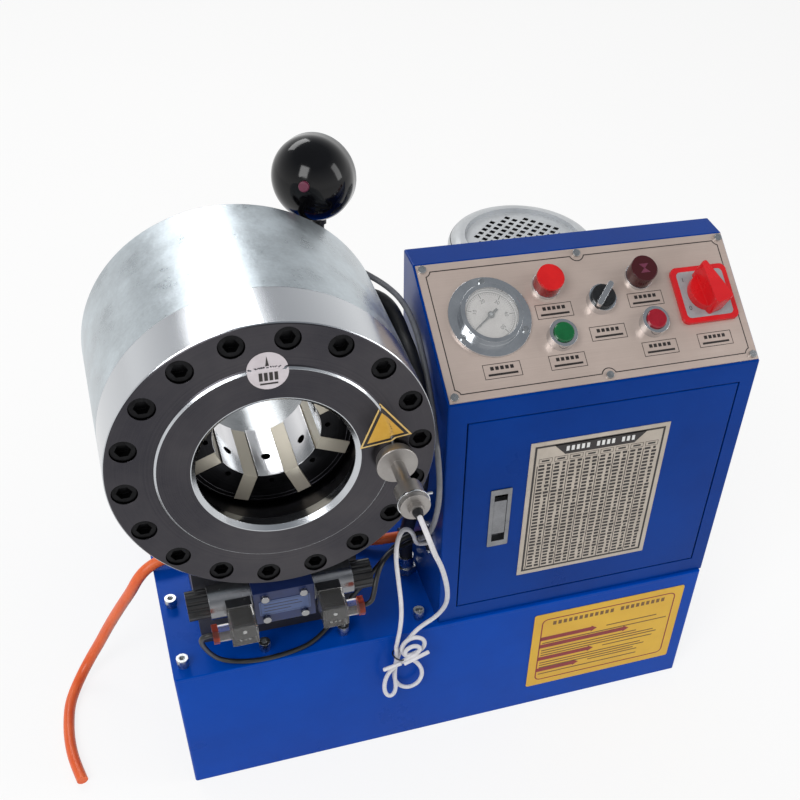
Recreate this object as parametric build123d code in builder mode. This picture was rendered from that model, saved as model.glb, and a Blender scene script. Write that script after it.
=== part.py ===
from build123d import *
import os
from math import atan2, cos, degrees, hypot, pi, radians, sin, tan

os.makedirs("parts", exist_ok=True)

# Hose crimping machine.  Millimetres, +Z up, -Y is the operator's side.
# The origin is the centre of the oil tank's flat underside.
# Positions that are easiest to read from a corner are given by spot(x, y, z):
# x from the tank's left side, y back from its front face, z up from the floor.

# ---------------------------------------------------------------- driving sizes
tank_width = 640.0
tank_depth = 500.0
tank_height = 185.0
tank_sheet = 4.0
tank_corner = 3.0
rim_width = 34.0
rim_thickness = 6.0
lid_thickness = 5.0
lid_round = 1.2
lid_edge = 12.8  # screw line in from the lid's edge, left and right
lid_edge_front = 19.0
lid_pitch = tank_width / 7.2
lid_pitch_deep = (tank_depth - 2 * lid_edge_front) / 5

shaft_fit = 0.05  # radial clearance of a shaft in its bore
slide_fit = 0.3  # clearance between pieces of different bodies
seat = 0.05  # gap left between separate pieces that bear on each other

head_x = 125.8  # crimping head's axis, from the tank's left side
head_rise = 311.2  # above the lid
head_face = -42.3  # front face of the head's flange, from the tank's front
head_radius = 146.7
head_length = 200.0
flange_thickness = 55.0
flange_step_radius = 105.6
flange_step = 2.8
mouth_radius = 71.0
mouth_chamfer = 4.0
cone_angle = 17.0
barrel_bore = 118.0
rear_wall = 20.0
bolt_circle_radius = 131.7
bolt_count = 18
bolt_first = -12.2  # degrees clockwise from straight up
bolt_radius = 7.0  # M14 socket head screws
bolt_head_radius = 10.5
bolt_head_height = 14.0
bolt_sink = 2.0  # heads lie this far below the flange's face
bolt_length = 69.0
bolt_hex = 12.0

die_count = 8
die_front = 47.0  # front faces of the dies behind the flange's face
die_length = 70.0
die_bore_radius = 49.5
die_front_radius = 80.0
die_gap = 14.6
bar_width = 14.0
bar_inner = 50.5
bar_outer = 80.0
piston_thickness = 25.0
piston_tube_radius = 84.0
piston_tube_bore = 74.0

pedestal_width = 176.0
pedestal_front = 46.0
pedestal_depth = 104.0
pedestal_wall = 12.0

valve_rise = 86.0  # valve's middle above the lid
valve_length = 64.0
valve_depth = 46.0
valve_height = 46.0
coil_radius = 18.5
coil_length = 44.0
knob_radius = 16.0
knob_length = 22.0
plug_width = 27.5
plug_length = 29.0
plug_offset = 47.2  # DIN plug's middle from the valve's middle

cabinet_left = 299.0
cabinet_width = 344.0
cabinet_front = 4.0
cabinet_depth = 160.0
cabinet_sheet = 2.0
bend_radius = 1.8
panel_foot_rise = 311.0  # foot of the sloped panel above the lid
panel_run = 128.0
panel_rise = 79.0

door_inset_left = 20.6
door_inset_right = 17.8
door_rise = 21.4  # door opening's foot above the lid
door_drop = 24.0  # its head below the sloped panel's foot
door_gap = 1.5
door_sheet = 1.5
door_lip = 12.0
door_edge = 1.0
hinge_inset = 6.5  # hinge axis in from the door opening's right edge
hinge_radius = 2.0

plate_inset = 2.0
plate_thickness = 1.5

motor_inset = 145.0  # motor's axis from the tank's right side
motor_inset_back = 175.0
motor_radius = 84.0
motor_flange_radius = 100.0
motor_flange = 12.0
motor_rise = 206.0  # top of the motor's frame above the lid
motor_core_radius = 72.0
cowl_radius = 91.0
cowl_height = 93.0
cowl_overlap = 4.0
cowl_sheet = 2.0
shaft_radius = 12.0

cord_white = 5.0
cord_orange = 13.0
cord_black = 5.5
cord_grey = 6.0
hose_diameter = 16.0

# ------------------------------------------------------------- derived places
left = -tank_width / 2
front = -tank_depth / 2
lid_top = tank_height + lid_thickness
head_z = lid_top + head_rise
valve_z = lid_top + valve_rise
panel_foot_z = lid_top + panel_foot_rise
door_left = cabinet_left + door_inset_left
door_right = cabinet_left + cabinet_width - door_inset_right
door_foot = lid_top + door_rise
door_head = panel_foot_z - door_drop
motor_x = tank_width - motor_inset
motor_y = tank_depth - motor_inset_back
motor_body_top = lid_top + motor_rise
cowl_foot = motor_body_top - cowl_overlap
cowl_top = cowl_foot + cowl_height
cabinet_top = panel_foot_z + panel_rise
panel_angle = degrees(atan2(panel_rise, panel_run))
panel_height = hypot(panel_run, panel_rise)
cone_tan = tan(radians(cone_angle))
cone_start = -flange_step + mouth_chamfer
piston_front = die_front + die_length + slide_fit


def spot(x, y, z):
    """A point given from the tank's front left bottom corner."""
    return (left + x, front + y, z)


def front_plane(x, y, z):
    """Plane facing the operator."""
    return Plane(origin=spot(x, y, z), x_dir=(1, 0, 0), z_dir=(0, -1, 0))


def side_plane(x, y, z):
    """Plane facing the right side: local x runs back, local y up."""
    return Plane(origin=spot(x, y, z), x_dir=(0, 1, 0), z_dir=(1, 0, 0))


def head_plane(depth, turn=0.0):
    """Plane across the head's axis, facing the operator, some depth behind the flange's face."""
    way = (cos(radians(turn)), 0, sin(radians(turn)))
    return Plane(origin=spot(head_x, head_face + depth, head_z), x_dir=way, z_dir=(0, -1, 0))


def head_section():
    """Half section of the head: local x is the depth behind the flange's face, local y the radius."""
    return Plane(origin=spot(head_x, head_face, head_z), x_dir=(0, 1, 0), z_dir=(1, 0, 0))


head_axis = Axis(spot(head_x, head_face, head_z), (0, 1, 0))


def cone_radius(depth):
    return mouth_radius + (depth - cone_start) * cone_tan


def on_circle(radius, count, first=0.0):
    """Places round a circle, counted clockwise from straight up as the operator sees them."""
    turns = [radians(90 - first - 360 / count * k) for k in range(count)]
    return [(radius * cos(a), radius * sin(a)) for a in turns]


def panel_plane(u, v, height=0.0):
    """Plane on the sloped control panel: u from its left edge, v up the slope, height off the sheet."""
    a = radians(panel_angle)
    x, y, z = spot(cabinet_left + u, cabinet_front + v * cos(a) - height * sin(a), 0)
    return Plane(
        origin=(x, y, panel_foot_z + v * sin(a) + height * cos(a)),
        x_dir=(1, 0, 0),
        z_dir=(0, -sin(a), cos(a)),
    )


def cord_radii(points):
    """Largest tangent arcs that the two runs beside each corner allow."""
    found = []
    for before, corner, after in zip(points, points[1:], points[2:]):
        run_in = Vector(*corner) - Vector(*before)
        run_out = Vector(*after) - Vector(*corner)
        half_turn = radians(run_in.get_angle(run_out) / 2)
        found.append(0.45 * min(run_in.length, run_out.length) / tan(half_turn))
    return found


def report_cord(name, points, volume, path_length, diameter):
    radii = cord_radii(points)
    runs = [(Vector(*b) - Vector(*a)).length for a, b in zip(points, points[1:])]
    volume_length = volume / (pi * diameter**2 / 4)
    print(f"{name}: length {path_length:.1f}, from volume {volume_length:.1f}")
    print("   runs", " ".join(f"{run:.0f}" for run in runs))
    print("   radii", " ".join(f"{radius:.0f}" for radius in radii))


# ================================================================= oil tank
lid_columns = [lid_edge + lid_pitch * k for k in range(7)] + [tank_width - lid_edge]
lid_rows = [lid_edge_front + lid_pitch_deep * k for k in range(6)]
lid_screw_places = [(x, lid_rows[0]) for x in lid_columns if x < cabinet_left - lid_edge]
lid_screw_places += [(x, lid_rows[-1]) for x in lid_columns]
lid_screw_places += [(lid_columns[0], y) for y in lid_rows[1:-1]]
lid_screw_places += [(lid_columns[-1], y) for y in lid_rows[2:-1]]
lid_screw_spots = [(left + x, front + y) for x, y in lid_screw_places]
lid_screw_radius = 4.0
lid_head_radius = 6.5
lid_head_height = 8.0
lid_washer_radius = 5.6
lid_washer_height = 5.0
lid_screw_length = 16.0

drain_x = tank_width / 2
drain_z = 22.0
drain_radius = 8.0

with BuildPart() as tank_shell:
    with BuildSketch():
        RectangleRounded(tank_width, tank_depth, tank_corner)
    extrude(amount=tank_height)
    with BuildSketch(Plane.XY.offset(tank_sheet)):
        Rectangle(tank_width - 2 * tank_sheet, tank_depth - 2 * tank_sheet)
    extrude(amount=tank_height - tank_sheet - rim_thickness, mode=Mode.SUBTRACT)
    with BuildSketch(Plane.XY.offset(tank_height)):
        Rectangle(tank_width - 2 * rim_width, tank_depth - 2 * rim_width)
    extrude(amount=-2 * rim_thickness, mode=Mode.SUBTRACT)
    with BuildSketch(Plane.XY.offset(tank_height)):
        with Locations(*lid_screw_spots):
            Circle(lid_screw_radius + shaft_fit)
    extrude(amount=-rim_thickness, mode=Mode.SUBTRACT)
    with BuildSketch(Plane(origin=spot(drain_x, tank_depth, drain_z), x_dir=(1, 0, 0), z_dir=(0, 1, 0))):
        Circle(drain_radius + shaft_fit)
    extrude(amount=-tank_sheet, mode=Mode.SUBTRACT)
tank_shell.part.label = "tank_shell"
export_step(tank_shell.part, "parts/tank_shell.step")

neck_x = 60.0
neck_y = tank_depth - 80.0
neck_radius = 22.0
neck_bore = 18.0
neck_height = 14.0
pump_radius = 60.0
hose_x = 286.0
hose_y = 98.0
hose_port_radius = 9.0
hose_fitting_height = 26.0

with BuildPart() as tank_lid:
    with BuildSketch(Plane.XY.offset(tank_height)):
        RectangleRounded(tank_width, tank_depth, tank_corner)
    extrude(amount=lid_thickness)
    fillet(tank_lid.edges().group_by(Axis.Z)[-1], lid_round)
    with BuildSketch(Plane.XY.offset(lid_top)):
        with Locations(spot(neck_x, neck_y, 0)[:2]):
            Circle(neck_radius)
    extrude(amount=neck_height)
    with BuildSketch(Plane.XY.offset(tank_height)):
        with Locations(*lid_screw_spots):
            Circle(lid_screw_radius + shaft_fit)
        with Locations(spot(neck_x, neck_y, 0)[:2]):
            Circle(neck_bore)
        with Locations(spot(motor_x, motor_y, 0)[:2]):
            Circle(pump_radius + slide_fit)
        with Locations(spot(hose_x, hose_y, 0)[:2]):
            Circle(hose_port_radius + shaft_fit)
    extrude(amount=lid_thickness + neck_height, mode=Mode.SUBTRACT)
tank_lid.part.label = "tank_lid"
export_step(tank_lid.part, "parts/tank_lid.step")

with BuildPart() as lid_screws:
    screw_seat = Plane.XY.offset(lid_top)
    with BuildSketch(screw_seat):
        with Locations(*lid_screw_spots):
            Circle(lid_washer_radius)
    extrude(amount=lid_washer_height)
    with BuildSketch(screw_seat.offset(lid_washer_height)):
        with Locations(*lid_screw_spots):
            Circle(lid_head_radius)
    extrude(amount=lid_head_height)
    with BuildSketch(screw_seat):
        with Locations(*lid_screw_spots):
            Circle(lid_screw_radius)
    extrude(amount=-lid_screw_length)
    with BuildSketch(screw_seat.offset(lid_washer_height + lid_head_height)):
        with Locations(*lid_screw_spots):
            RegularPolygon(3.0, 6, major_radius=False)
    extrude(amount=-4.5, mode=Mode.SUBTRACT)
lid_screws.part.label = "lid_screws"
export_step(lid_screws.part, "parts/lid_screws.step")

with BuildPart() as drain_plug:
    outside = Plane(origin=spot(drain_x, tank_depth, drain_z), x_dir=(1, 0, 0), z_dir=(0, 1, 0))
    with BuildSketch(outside):
        Circle(drain_radius)
    extrude(amount=-tank_sheet - 4)
    with BuildSketch(outside):
        Circle(12)
    extrude(amount=3)
    with BuildSketch(outside.offset(3)):
        RegularPolygon(8.5, 6, major_radius=False)
    extrude(amount=7)
drain_plug.part.label = "drain_plug"
export_step(drain_plug.part, "parts/drain_plug.step")

cap_radius = 26.0
with BuildPart() as filler_cap:
    with BuildSketch(Plane(origin=spot(neck_x, neck_y, lid_top + neck_height + seat))):
        Circle(cap_radius)
    extrude(amount=16)
    fillet(filler_cap.edges().group_by(Axis.Z)[-1], 3)
    with BuildSketch(Plane(origin=spot(neck_x, neck_y, lid_top + neck_height + seat))):
        Circle(neck_bore - shaft_fit)
    extrude(amount=-10)
filler_cap.part.label = "filler_cap"
export_step(filler_cap.part, "parts/filler_cap.step")

# ============================================================ crimping head
with BuildPart() as head_pedestal:
    foot = Plane(origin=spot(head_x, pedestal_front + pedestal_depth / 2, lid_top))
    with BuildSketch(foot):
        Rectangle(pedestal_width, pedestal_depth)
    extrude(amount=head_z - lid_top)
    with BuildSketch(foot.offset(pedestal_wall)):
        Rectangle(pedestal_width - 2 * pedestal_wall, pedestal_depth - 2 * pedestal_wall)
    extrude(amount=head_z - lid_top, mode=Mode.SUBTRACT)
    with BuildSketch(head_plane(0)):
        Circle(head_radius + seat)
    extrude(amount=-pedestal_front - pedestal_depth + head_face - 10, mode=Mode.SUBTRACT)
head_pedestal.part.label = "head_pedestal"
export_step(head_pedestal.part, "parts/head_pedestal.step")

spigot_radius = barrel_bore - shaft_fit
spigot_end = piston_front - slide_fit
bolt_places = on_circle(bolt_circle_radius, bolt_count, bolt_first)
adjuster_x = 106.2  # from the head's axis
adjuster_z = -10.2
stem_radius = 8.0
stem_depth = 30.0

with BuildPart() as front_flange:
    with BuildSketch(head_section()):
        with BuildLine():
            Polyline(
                (-flange_step, mouth_radius + mouth_chamfer),
                (cone_start, mouth_radius),
                (spigot_end, cone_radius(spigot_end)),
                (spigot_end, spigot_radius),
                (flange_thickness, spigot_radius),
                (flange_thickness, head_radius),
                (1.5, head_radius),
                (0, head_radius - 1.5),
                (0, flange_step_radius + 1.4),
                (-flange_step + 1.4, flange_step_radius),
                (-flange_step, flange_step_radius - 1.4),
                close=True,
            )
        make_face()
    revolve(axis=head_axis)
    with BuildSketch(head_plane(0)):
        with Locations(*bolt_places):
            Circle(bolt_radius + slide_fit)
    extrude(amount=-flange_thickness, mode=Mode.SUBTRACT)
    with BuildSketch(head_plane(0)):
        with Locations(*bolt_places):
            Circle(bolt_head_radius + 0.7)
    extrude(amount=-bolt_sink - bolt_head_height, mode=Mode.SUBTRACT)
    with BuildSketch(head_plane(-flange_step)):
        with Locations((adjuster_x, adjuster_z)):
            Circle(stem_radius + shaft_fit)
    extrude(amount=-flange_step - stem_depth, mode=Mode.SUBTRACT)
front_flange.part.label = "front_flange"
export_step(front_flange.part, "parts/front_flange.step")

rear_port_turn = 15.0  # degrees above the horizontal, on the right
rear_port_radius = 101.0
port_radius = 8.0

with BuildPart() as barrel:
    with BuildSketch(head_plane(flange_thickness)):
        Circle(head_radius)
        Circle(barrel_bore, mode=Mode.SUBTRACT)
    extrude(amount=flange_thickness - head_length + rear_wall)
    with BuildSketch(head_plane(head_length - rear_wall)):
        Circle(head_radius)
        Circle(piston_tube_radius + shaft_fit, mode=Mode.SUBTRACT)
    extrude(amount=-rear_wall)
    chamfer(barrel.edges().group_by(Axis.Y)[-1].sort_by(SortBy.RADIUS)[-1], 1.5)
    with BuildSketch(head_plane(flange_thickness)):
        with Locations(*bolt_places):
            Circle(bolt_radius + shaft_fit)
    extrude(amount=flange_thickness - bolt_sink - bolt_head_height - bolt_length - 5, mode=Mode.SUBTRACT)
    with BuildSketch(head_plane(head_length, rear_port_turn)):
        with Locations((rear_port_radius, 0)):
            Circle(port_radius + shaft_fit)
    extrude(amount=rear_wall, mode=Mode.SUBTRACT)
barrel.part.label = "barrel"
export_step(barrel.part, "parts/barrel.step")

with BuildPart() as flange_screws:
    head_seat = bolt_sink + bolt_head_height
    with BuildSketch(head_plane(bolt_sink)):
        with Locations(*bolt_places):
            Circle(bolt_head_radius)
    extrude(amount=-bolt_head_height)
    with BuildSketch(head_plane(head_seat)):
        with Locations(*bolt_places):
            Circle(bolt_radius)
    extrude(amount=-bolt_length)
    with BuildSketch(head_plane(bolt_sink)):
        with Locations(*bolt_places):
            RegularPolygon(bolt_hex / 2, 6, major_radius=False)
    extrude(amount=-7, mode=Mode.SUBTRACT)
flange_screws.part.label = "flange_screws"
export_step(flange_screws.part, "parts/flange_screws.step")

with BuildPart() as piston:
    with BuildSketch(head_plane(piston_front)):
        Circle(barrel_bore - shaft_fit)
    extrude(amount=-piston_thickness)
    with BuildSketch(head_plane(piston_front + piston_thickness)):
        Circle(piston_tube_radius)
    extrude(amount=piston_front + piston_thickness - head_length)
    with BuildSketch(head_plane(piston_front)):
        Circle(piston_tube_bore)
    extrude(amount=-head_length, mode=Mode.SUBTRACT)
piston.part.label = "piston"
export_step(piston.part, "parts/piston.step")

cone_clear = slide_fit / cos(radians(cone_angle))
die_rear = die_front + die_length
half_share = 180 / die_count
wedge_apex = die_gap / 2 / sin(radians(half_share))
wedge_reach = 1.3 * barrel_bore
die_corner = die_front + 4.5
grip_hole_radius = 4.5
grip_hole_depth = 9.0
grip_hole_place = 75.0
latch_hole_radius = 2.6
latch_hole_place = 56.0


def die_turn(k):
    """Direction of a die from the head's axis; the first lies straight below."""
    return 270 + 360 / die_count * k


for k in range(die_count):
    across = head_plane(die_front, die_turn(k))
    with BuildPart() as die_shoe:
        with BuildSketch(across):
            with BuildLine():
                far_x = wedge_apex + wedge_reach * cos(radians(half_share))
                far_y = wedge_reach * sin(radians(half_share))
                Polyline((wedge_apex, 0), (far_x, far_y), (far_x, -far_y), close=True)
            make_face()
        extrude(amount=-die_length)
        with BuildSketch(head_section()):
            with BuildLine():
                Polyline(
                    (die_front, die_bore_radius),
                    (die_rear, die_bore_radius),
                    (die_rear, cone_radius(die_rear) - cone_clear),
                    (die_corner, cone_radius(die_corner) - cone_clear),
                    (die_front, die_front_radius),
                    close=True,
                )
            make_face()
        revolve(axis=head_axis, mode=Mode.INTERSECT)
        with BuildSketch(across):
            with Locations((latch_hole_place, 0)):
                Circle(latch_hole_radius)
        extrude(amount=-12, mode=Mode.SUBTRACT)
        bore_face = Plane(
            origin=head_plane(grip_hole_place, die_turn(k)).from_local_coords((die_bore_radius, 0, 0)),
            z_dir=head_plane(0, die_turn(k)).x_dir,
        )
        with BuildSketch(bore_face.offset(-5)):
            Circle(grip_hole_radius)
        extrude(amount=5 + grip_hole_depth, mode=Mode.SUBTRACT)
    with BuildPart() as spacer_bar:
        beside = head_plane(die_front, die_turn(k) + half_share)
        with BuildSketch(beside):
            with BuildLine():
                inner = bar_inner
                outer = bar_outer
                low = -die_gap / 2 + seat
                Polyline(
                    (inner, low),
                    (outer, low),
                    (outer, low + bar_width),
                    (inner, low + bar_width),
                    close=True,
                )
            make_face()
        extrude(amount=-die_length)
    die_set = Compound(label=f"master_die_{k + 1}", children=[die_shoe.part, spacer_bar.part])
    export_step(die_set, f"parts/master_die_{k + 1}.step")

# ---------------------------------------------------- stroke limit adjuster
adjuster_turn = (adjuster_x, adjuster_z)
collar_radius = 17.5
collar_height = 8.0
spindle_radius = 3.0
dial_radius = 19.5
dial_thickness = 3.5
dial_start = flange_step + collar_height + slide_fit
dial_neck_radius = 6.5
dial_neck_length = 33.0
switch_start = dial_start + dial_thickness + dial_neck_length + slide_fit
switch_radius = 13.0
switch_length = 19.0
switch_cap_radius = 14.0
switch_cap_length = 6.0
switch_nut_length = 6.0
switch_end = switch_start + switch_length + switch_cap_length + switch_nut_length

with BuildPart() as limit_collar:
    with BuildSketch(head_plane(stem_depth - 2)):
        with Locations(adjuster_turn):
            Circle(stem_radius)
    extrude(amount=stem_depth - 2 + flange_step)
    with BuildSketch(head_plane(-flange_step)):
        with Locations(adjuster_turn):
            Circle(collar_radius)
    extrude(amount=collar_height)
    with BuildSketch(head_plane(-flange_step - collar_height)):
        with Locations(adjuster_turn):
            Circle(spindle_radius)
    extrude(amount=switch_start - flange_step - collar_height + 10)
with BuildPart() as limit_body:
    with BuildSketch(head_plane(-switch_start)):
        with Locations(adjuster_turn):
            Circle(switch_radius)
    extrude(amount=switch_length)
    with BuildSketch(head_plane(-switch_start - switch_length)):
        with Locations(adjuster_turn):
            Circle(switch_cap_radius)
    extrude(amount=switch_cap_length)
    with BuildSketch(head_plane(-switch_start - switch_length - switch_cap_length)):
        with Locations(adjuster_turn):
            RegularPolygon(6.5, 6, major_radius=False)
    extrude(amount=switch_nut_length)
    with BuildSketch(head_plane(-switch_start)):
        with Locations(adjuster_turn):
            Circle(spindle_radius + seat)
    extrude(amount=10.5, mode=Mode.SUBTRACT)
limit_switch = Compound(label="limit_switch", children=[limit_collar.part, limit_body.part])
export_step(limit_switch, "parts/limit_switch.step")

with BuildPart() as adjuster_dial:
    with BuildSketch(head_plane(-dial_start)):
        with Locations(adjuster_turn):
            Circle(dial_radius)
    extrude(amount=dial_thickness)
    chamfer(adjuster_dial.edges().group_by(Axis.Y)[0], 0.6)
    with BuildSketch(head_plane(-dial_start - dial_thickness)):
        with Locations(adjuster_turn):
            Circle(dial_neck_radius)
    extrude(amount=dial_neck_length)
    with BuildSketch(head_plane(-dial_start)):
        with Locations(adjuster_turn):
            Circle(spindle_radius + shaft_fit)
    extrude(amount=dial_thickness + dial_neck_length, mode=Mode.SUBTRACT)
adjuster_dial.part.label = "adjuster_dial"
export_step(adjuster_dial.part, "parts/adjuster_dial.step")

# ======================================================= directional valve
valve_middle = pedestal_front - valve_depth / 2 - seat
valve_plane = side_plane(head_x, valve_middle, valve_z)

with BuildPart() as valve_body:
    with BuildSketch(valve_plane):
        Rectangle(valve_depth, valve_height)
    extrude(amount=valve_length / 2, both=True)
    with BuildSketch(valve_plane):
        Circle(11)
    extrude(amount=valve_length / 2 + 0.8, both=True)
    valve_face = front_plane(head_x, valve_middle - valve_depth / 2, valve_z)
    with BuildSketch(valve_face):
        with GridLocations(40.5, 31, 2, 2):
            Circle(4.25)
    extrude(amount=4)
valve_body.part.label = "valve_body"
export_step(valve_body.part, "parts/valve_body.step")

coil_start = valve_length / 2 + seat
coil_end = coil_start + coil_length
with BuildPart() as valve_coils:
    for way in (-1, 1):
        with BuildSketch(valve_plane.offset(way * coil_start)):
            Circle(coil_radius)
        extrude(amount=way * coil_length)
        terminal = front_plane(head_x + way * plug_offset, valve_middle, valve_z)
        with BuildSketch(terminal):
            Rectangle(plug_width - 1.5, plug_width - 1.5)
        extrude(amount=coil_radius + 8)
        with BuildSketch(valve_plane.offset(way * coil_start)):
            Circle(11 + seat)
        extrude(amount=way * (0.8 + seat), mode=Mode.SUBTRACT)
valve_coils.part.label = "valve_coils"
export_step(valve_coils.part, "parts/valve_coils.step")

with BuildPart() as coil_knobs:
    for way in (-1, 1):
        with BuildSketch(valve_plane.offset(way * (coil_end + seat))):
            Circle(knob_radius)
            with PolarLocations(knob_radius + 0.6, 14):
                Circle(1.8, mode=Mode.SUBTRACT)
        extrude(amount=way * knob_length)
coil_knobs.part.label = "coil_knobs"
export_step(coil_knobs.part, "parts/coil_knobs.step")

plug_start = valve_middle - coil_radius - 8 - seat
plug_front = plug_start - plug_length
gland_y = plug_front + 10
gland_start = plug_offset + plug_width / 2
gland_nut = 12.0
gland_tip = 6.0
with BuildPart() as valve_plugs:
    for way in (-1, 1):
        plug_plane = front_plane(head_x + way * plug_offset, plug_start, valve_z)
        with BuildSketch(plug_plane):
            RectangleRounded(plug_width, plug_width, 2)
        extrude(amount=plug_length)
        gland_plane = Plane(
            origin=spot(head_x + way * gland_start, gland_y, valve_z),
            x_dir=(0, 1, 0),
            z_dir=(way, 0, 0),
        )
        with BuildSketch(gland_plane):
            Circle(9)
        extrude(amount=gland_nut)
        with BuildSketch(gland_plane.offset(gland_nut)):
            RegularPolygon(9.5, 6, major_radius=False)
        extrude(amount=gland_tip)
valve_plugs.part.label = "valve_plugs"
export_step(valve_plugs.part, "parts/valve_plugs.step")

# ============================================================ control cabinet
panel_margin = 7.5  # plate's screws in from its edges
green_place = (0.3808 * cabinet_width, 54.4)
red_place = (0.6791 * cabinet_width, 55.5)
selector_place = (0.5334 * cabinet_width, 87.5)
pilot_place = (0.3779 * cabinet_width, 111.0)
buzzer_place = (0.6759 * cabinet_width, 108.8)
bezel_places = [green_place, red_place, selector_place, pilot_place, buzzer_place]
gauge_place = (0.184 * cabinet_width, 84.8)
main_switch_place = (0.8735 * cabinet_width, 80.7)
screw_columns = (panel_margin, cabinet_width / 2, cabinet_width - panel_margin)
plate_screw_places = [(u, v) for u in screw_columns for v in (panel_margin, panel_height - panel_margin)]
plate_screw_radius = 2.0
device_radius = 11.0  # threaded shanks of the lamps, buttons and switches
device_bore = device_radius + slide_fit
gauge_case_radius = 31.0
switch_shaft_radius = 6.0

bush_y = 50.0
bush_z = lid_top + 96.0
bush_radius = 15.0
bush_face = 3.0  # flange outside the cabinet's wall
mains_y = 140.0
mains_z = lid_top + 16.0
mains_thread_radius = 10.0
mains_nut = 9.0

with BuildPart() as cabinet_shell:
    profile_plane = side_plane(cabinet_left, 0, 0)
    with BuildSketch(profile_plane):
        with BuildLine():
            Polyline(
                (cabinet_front, lid_top + seat),
                (cabinet_front, panel_foot_z),
                (cabinet_front + panel_run, cabinet_top),
                (cabinet_front + cabinet_depth, cabinet_top),
                (cabinet_front + cabinet_depth, lid_top + seat),
                close=True,
            )
        make_face()
    extrude(amount=cabinet_width)
    foot_edges = cabinet_shell.edges().group_by(Axis.Z)[0]
    fillet([edge for edge in cabinet_shell.edges() if edge not in foot_edges], bend_radius)
    with BuildSketch(profile_plane.offset(cabinet_sheet)):
        with BuildLine():
            Polyline(
                (cabinet_front, lid_top + seat),
                (cabinet_front, panel_foot_z),
                (cabinet_front + panel_run, cabinet_top),
                (cabinet_front + cabinet_depth, cabinet_top),
                (cabinet_front + cabinet_depth, lid_top + seat),
                close=True,
            )
        make_face()
        offset(amount=-cabinet_sheet, kind=Kind.INTERSECTION, mode=Mode.REPLACE)
    extrude(amount=cabinet_width - 2 * cabinet_sheet, mode=Mode.SUBTRACT)
    with BuildSketch(front_plane((door_left + door_right) / 2, cabinet_front, (door_foot + door_head) / 2)):
        Rectangle(door_right - door_left, door_head - door_foot)
    extrude(amount=-cabinet_sheet, mode=Mode.SUBTRACT)
    with BuildSketch(panel_plane(0, 0)):
        with Locations(*bezel_places, main_switch_place):
            Circle(device_bore)
        with Locations(gauge_place):
            Circle(gauge_case_radius + slide_fit)
        with Locations(*plate_screw_places):
            Circle(plate_screw_radius + seat)
    extrude(amount=-2 * cabinet_sheet, mode=Mode.SUBTRACT)
    with BuildSketch(side_plane(cabinet_left, bush_y, bush_z)):
        Circle(bush_radius + shaft_fit)
        with Locations((mains_y - bush_y, mains_z - bush_z)):
            Circle(mains_thread_radius + shaft_fit)
    extrude(amount=cabinet_sheet, mode=Mode.SUBTRACT)
cabinet_shell.part.label = "cabinet_shell"
export_step(cabinet_shell.part, "parts/cabinet_shell.step")

leaf_left = door_left + door_gap
leaf_right = door_right - door_gap
leaf_foot = door_foot + door_gap
leaf_head = door_head - door_gap
leaf_width = leaf_right - leaf_left
leaf_height = leaf_head - leaf_foot
leaf_centre_x = (leaf_left + leaf_right) / 2
leaf_centre_z = (leaf_foot + leaf_head) / 2
hinge_x = door_right - hinge_inset
hinge_y = cabinet_front + 4.0
latch_x = door_left + 43.1
latch_z = door_foot + 130.4
latch_width = 24.0
latch_height = 82.0
latch_cut_width = 18.0
latch_cut_height = 70.0
latch_depth = 10.0

with BuildPart() as cabinet_door:
    leaf_plane = front_plane(leaf_centre_x, cabinet_front, leaf_centre_z)
    with BuildSketch(leaf_plane):
        Rectangle(leaf_width, leaf_height)
    extrude(amount=-door_lip)
    fillet(cabinet_door.edges().group_by(Axis.Y)[0], door_edge)
    with BuildSketch(leaf_plane.offset(-door_sheet)):
        Rectangle(leaf_width - 2 * door_sheet, leaf_height - 2 * door_sheet)
    extrude(amount=-door_lip, mode=Mode.SUBTRACT)
    latch_plane = front_plane(latch_x, cabinet_front, latch_z)
    with BuildSketch(latch_plane):
        Rectangle(latch_cut_width + 2 * seat, latch_cut_height + 2 * seat)
    extrude(amount=-door_sheet, mode=Mode.SUBTRACT)
    with BuildSketch(Plane(origin=spot(hinge_x, hinge_y, leaf_foot))):
        Circle(hinge_radius + shaft_fit)
    extrude(amount=leaf_height, mode=Mode.SUBTRACT)
cabinet_door.part.label = "cabinet_door"
export_step(cabinet_door.part, "parts/cabinet_door.step")

bracket_lift = 3.5
bracket_thickness = 4.0
bracket_size = 18.0
bracket_start = cabinet_front + cabinet_sheet + seat - hinge_y
pin_reach = bracket_lift + door_gap + door_sheet + 4
with BuildPart() as door_hinges:
    for edge, way in ((door_head, 1), (door_foot, -1)):
        foot = Plane(origin=spot(hinge_x, hinge_y, edge + way * bracket_lift))
        with BuildSketch(foot):
            with Locations((0, bracket_start + bracket_size / 2)):
                Rectangle(bracket_size, bracket_size)
        extrude(amount=way * bracket_thickness)
        with BuildSketch(foot):
            Circle(hinge_radius)
        extrude(amount=-way * pin_reach)
door_hinges.part.label = "door_hinges"
export_step(door_hinges.part, "parts/door_hinges.step")

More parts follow.
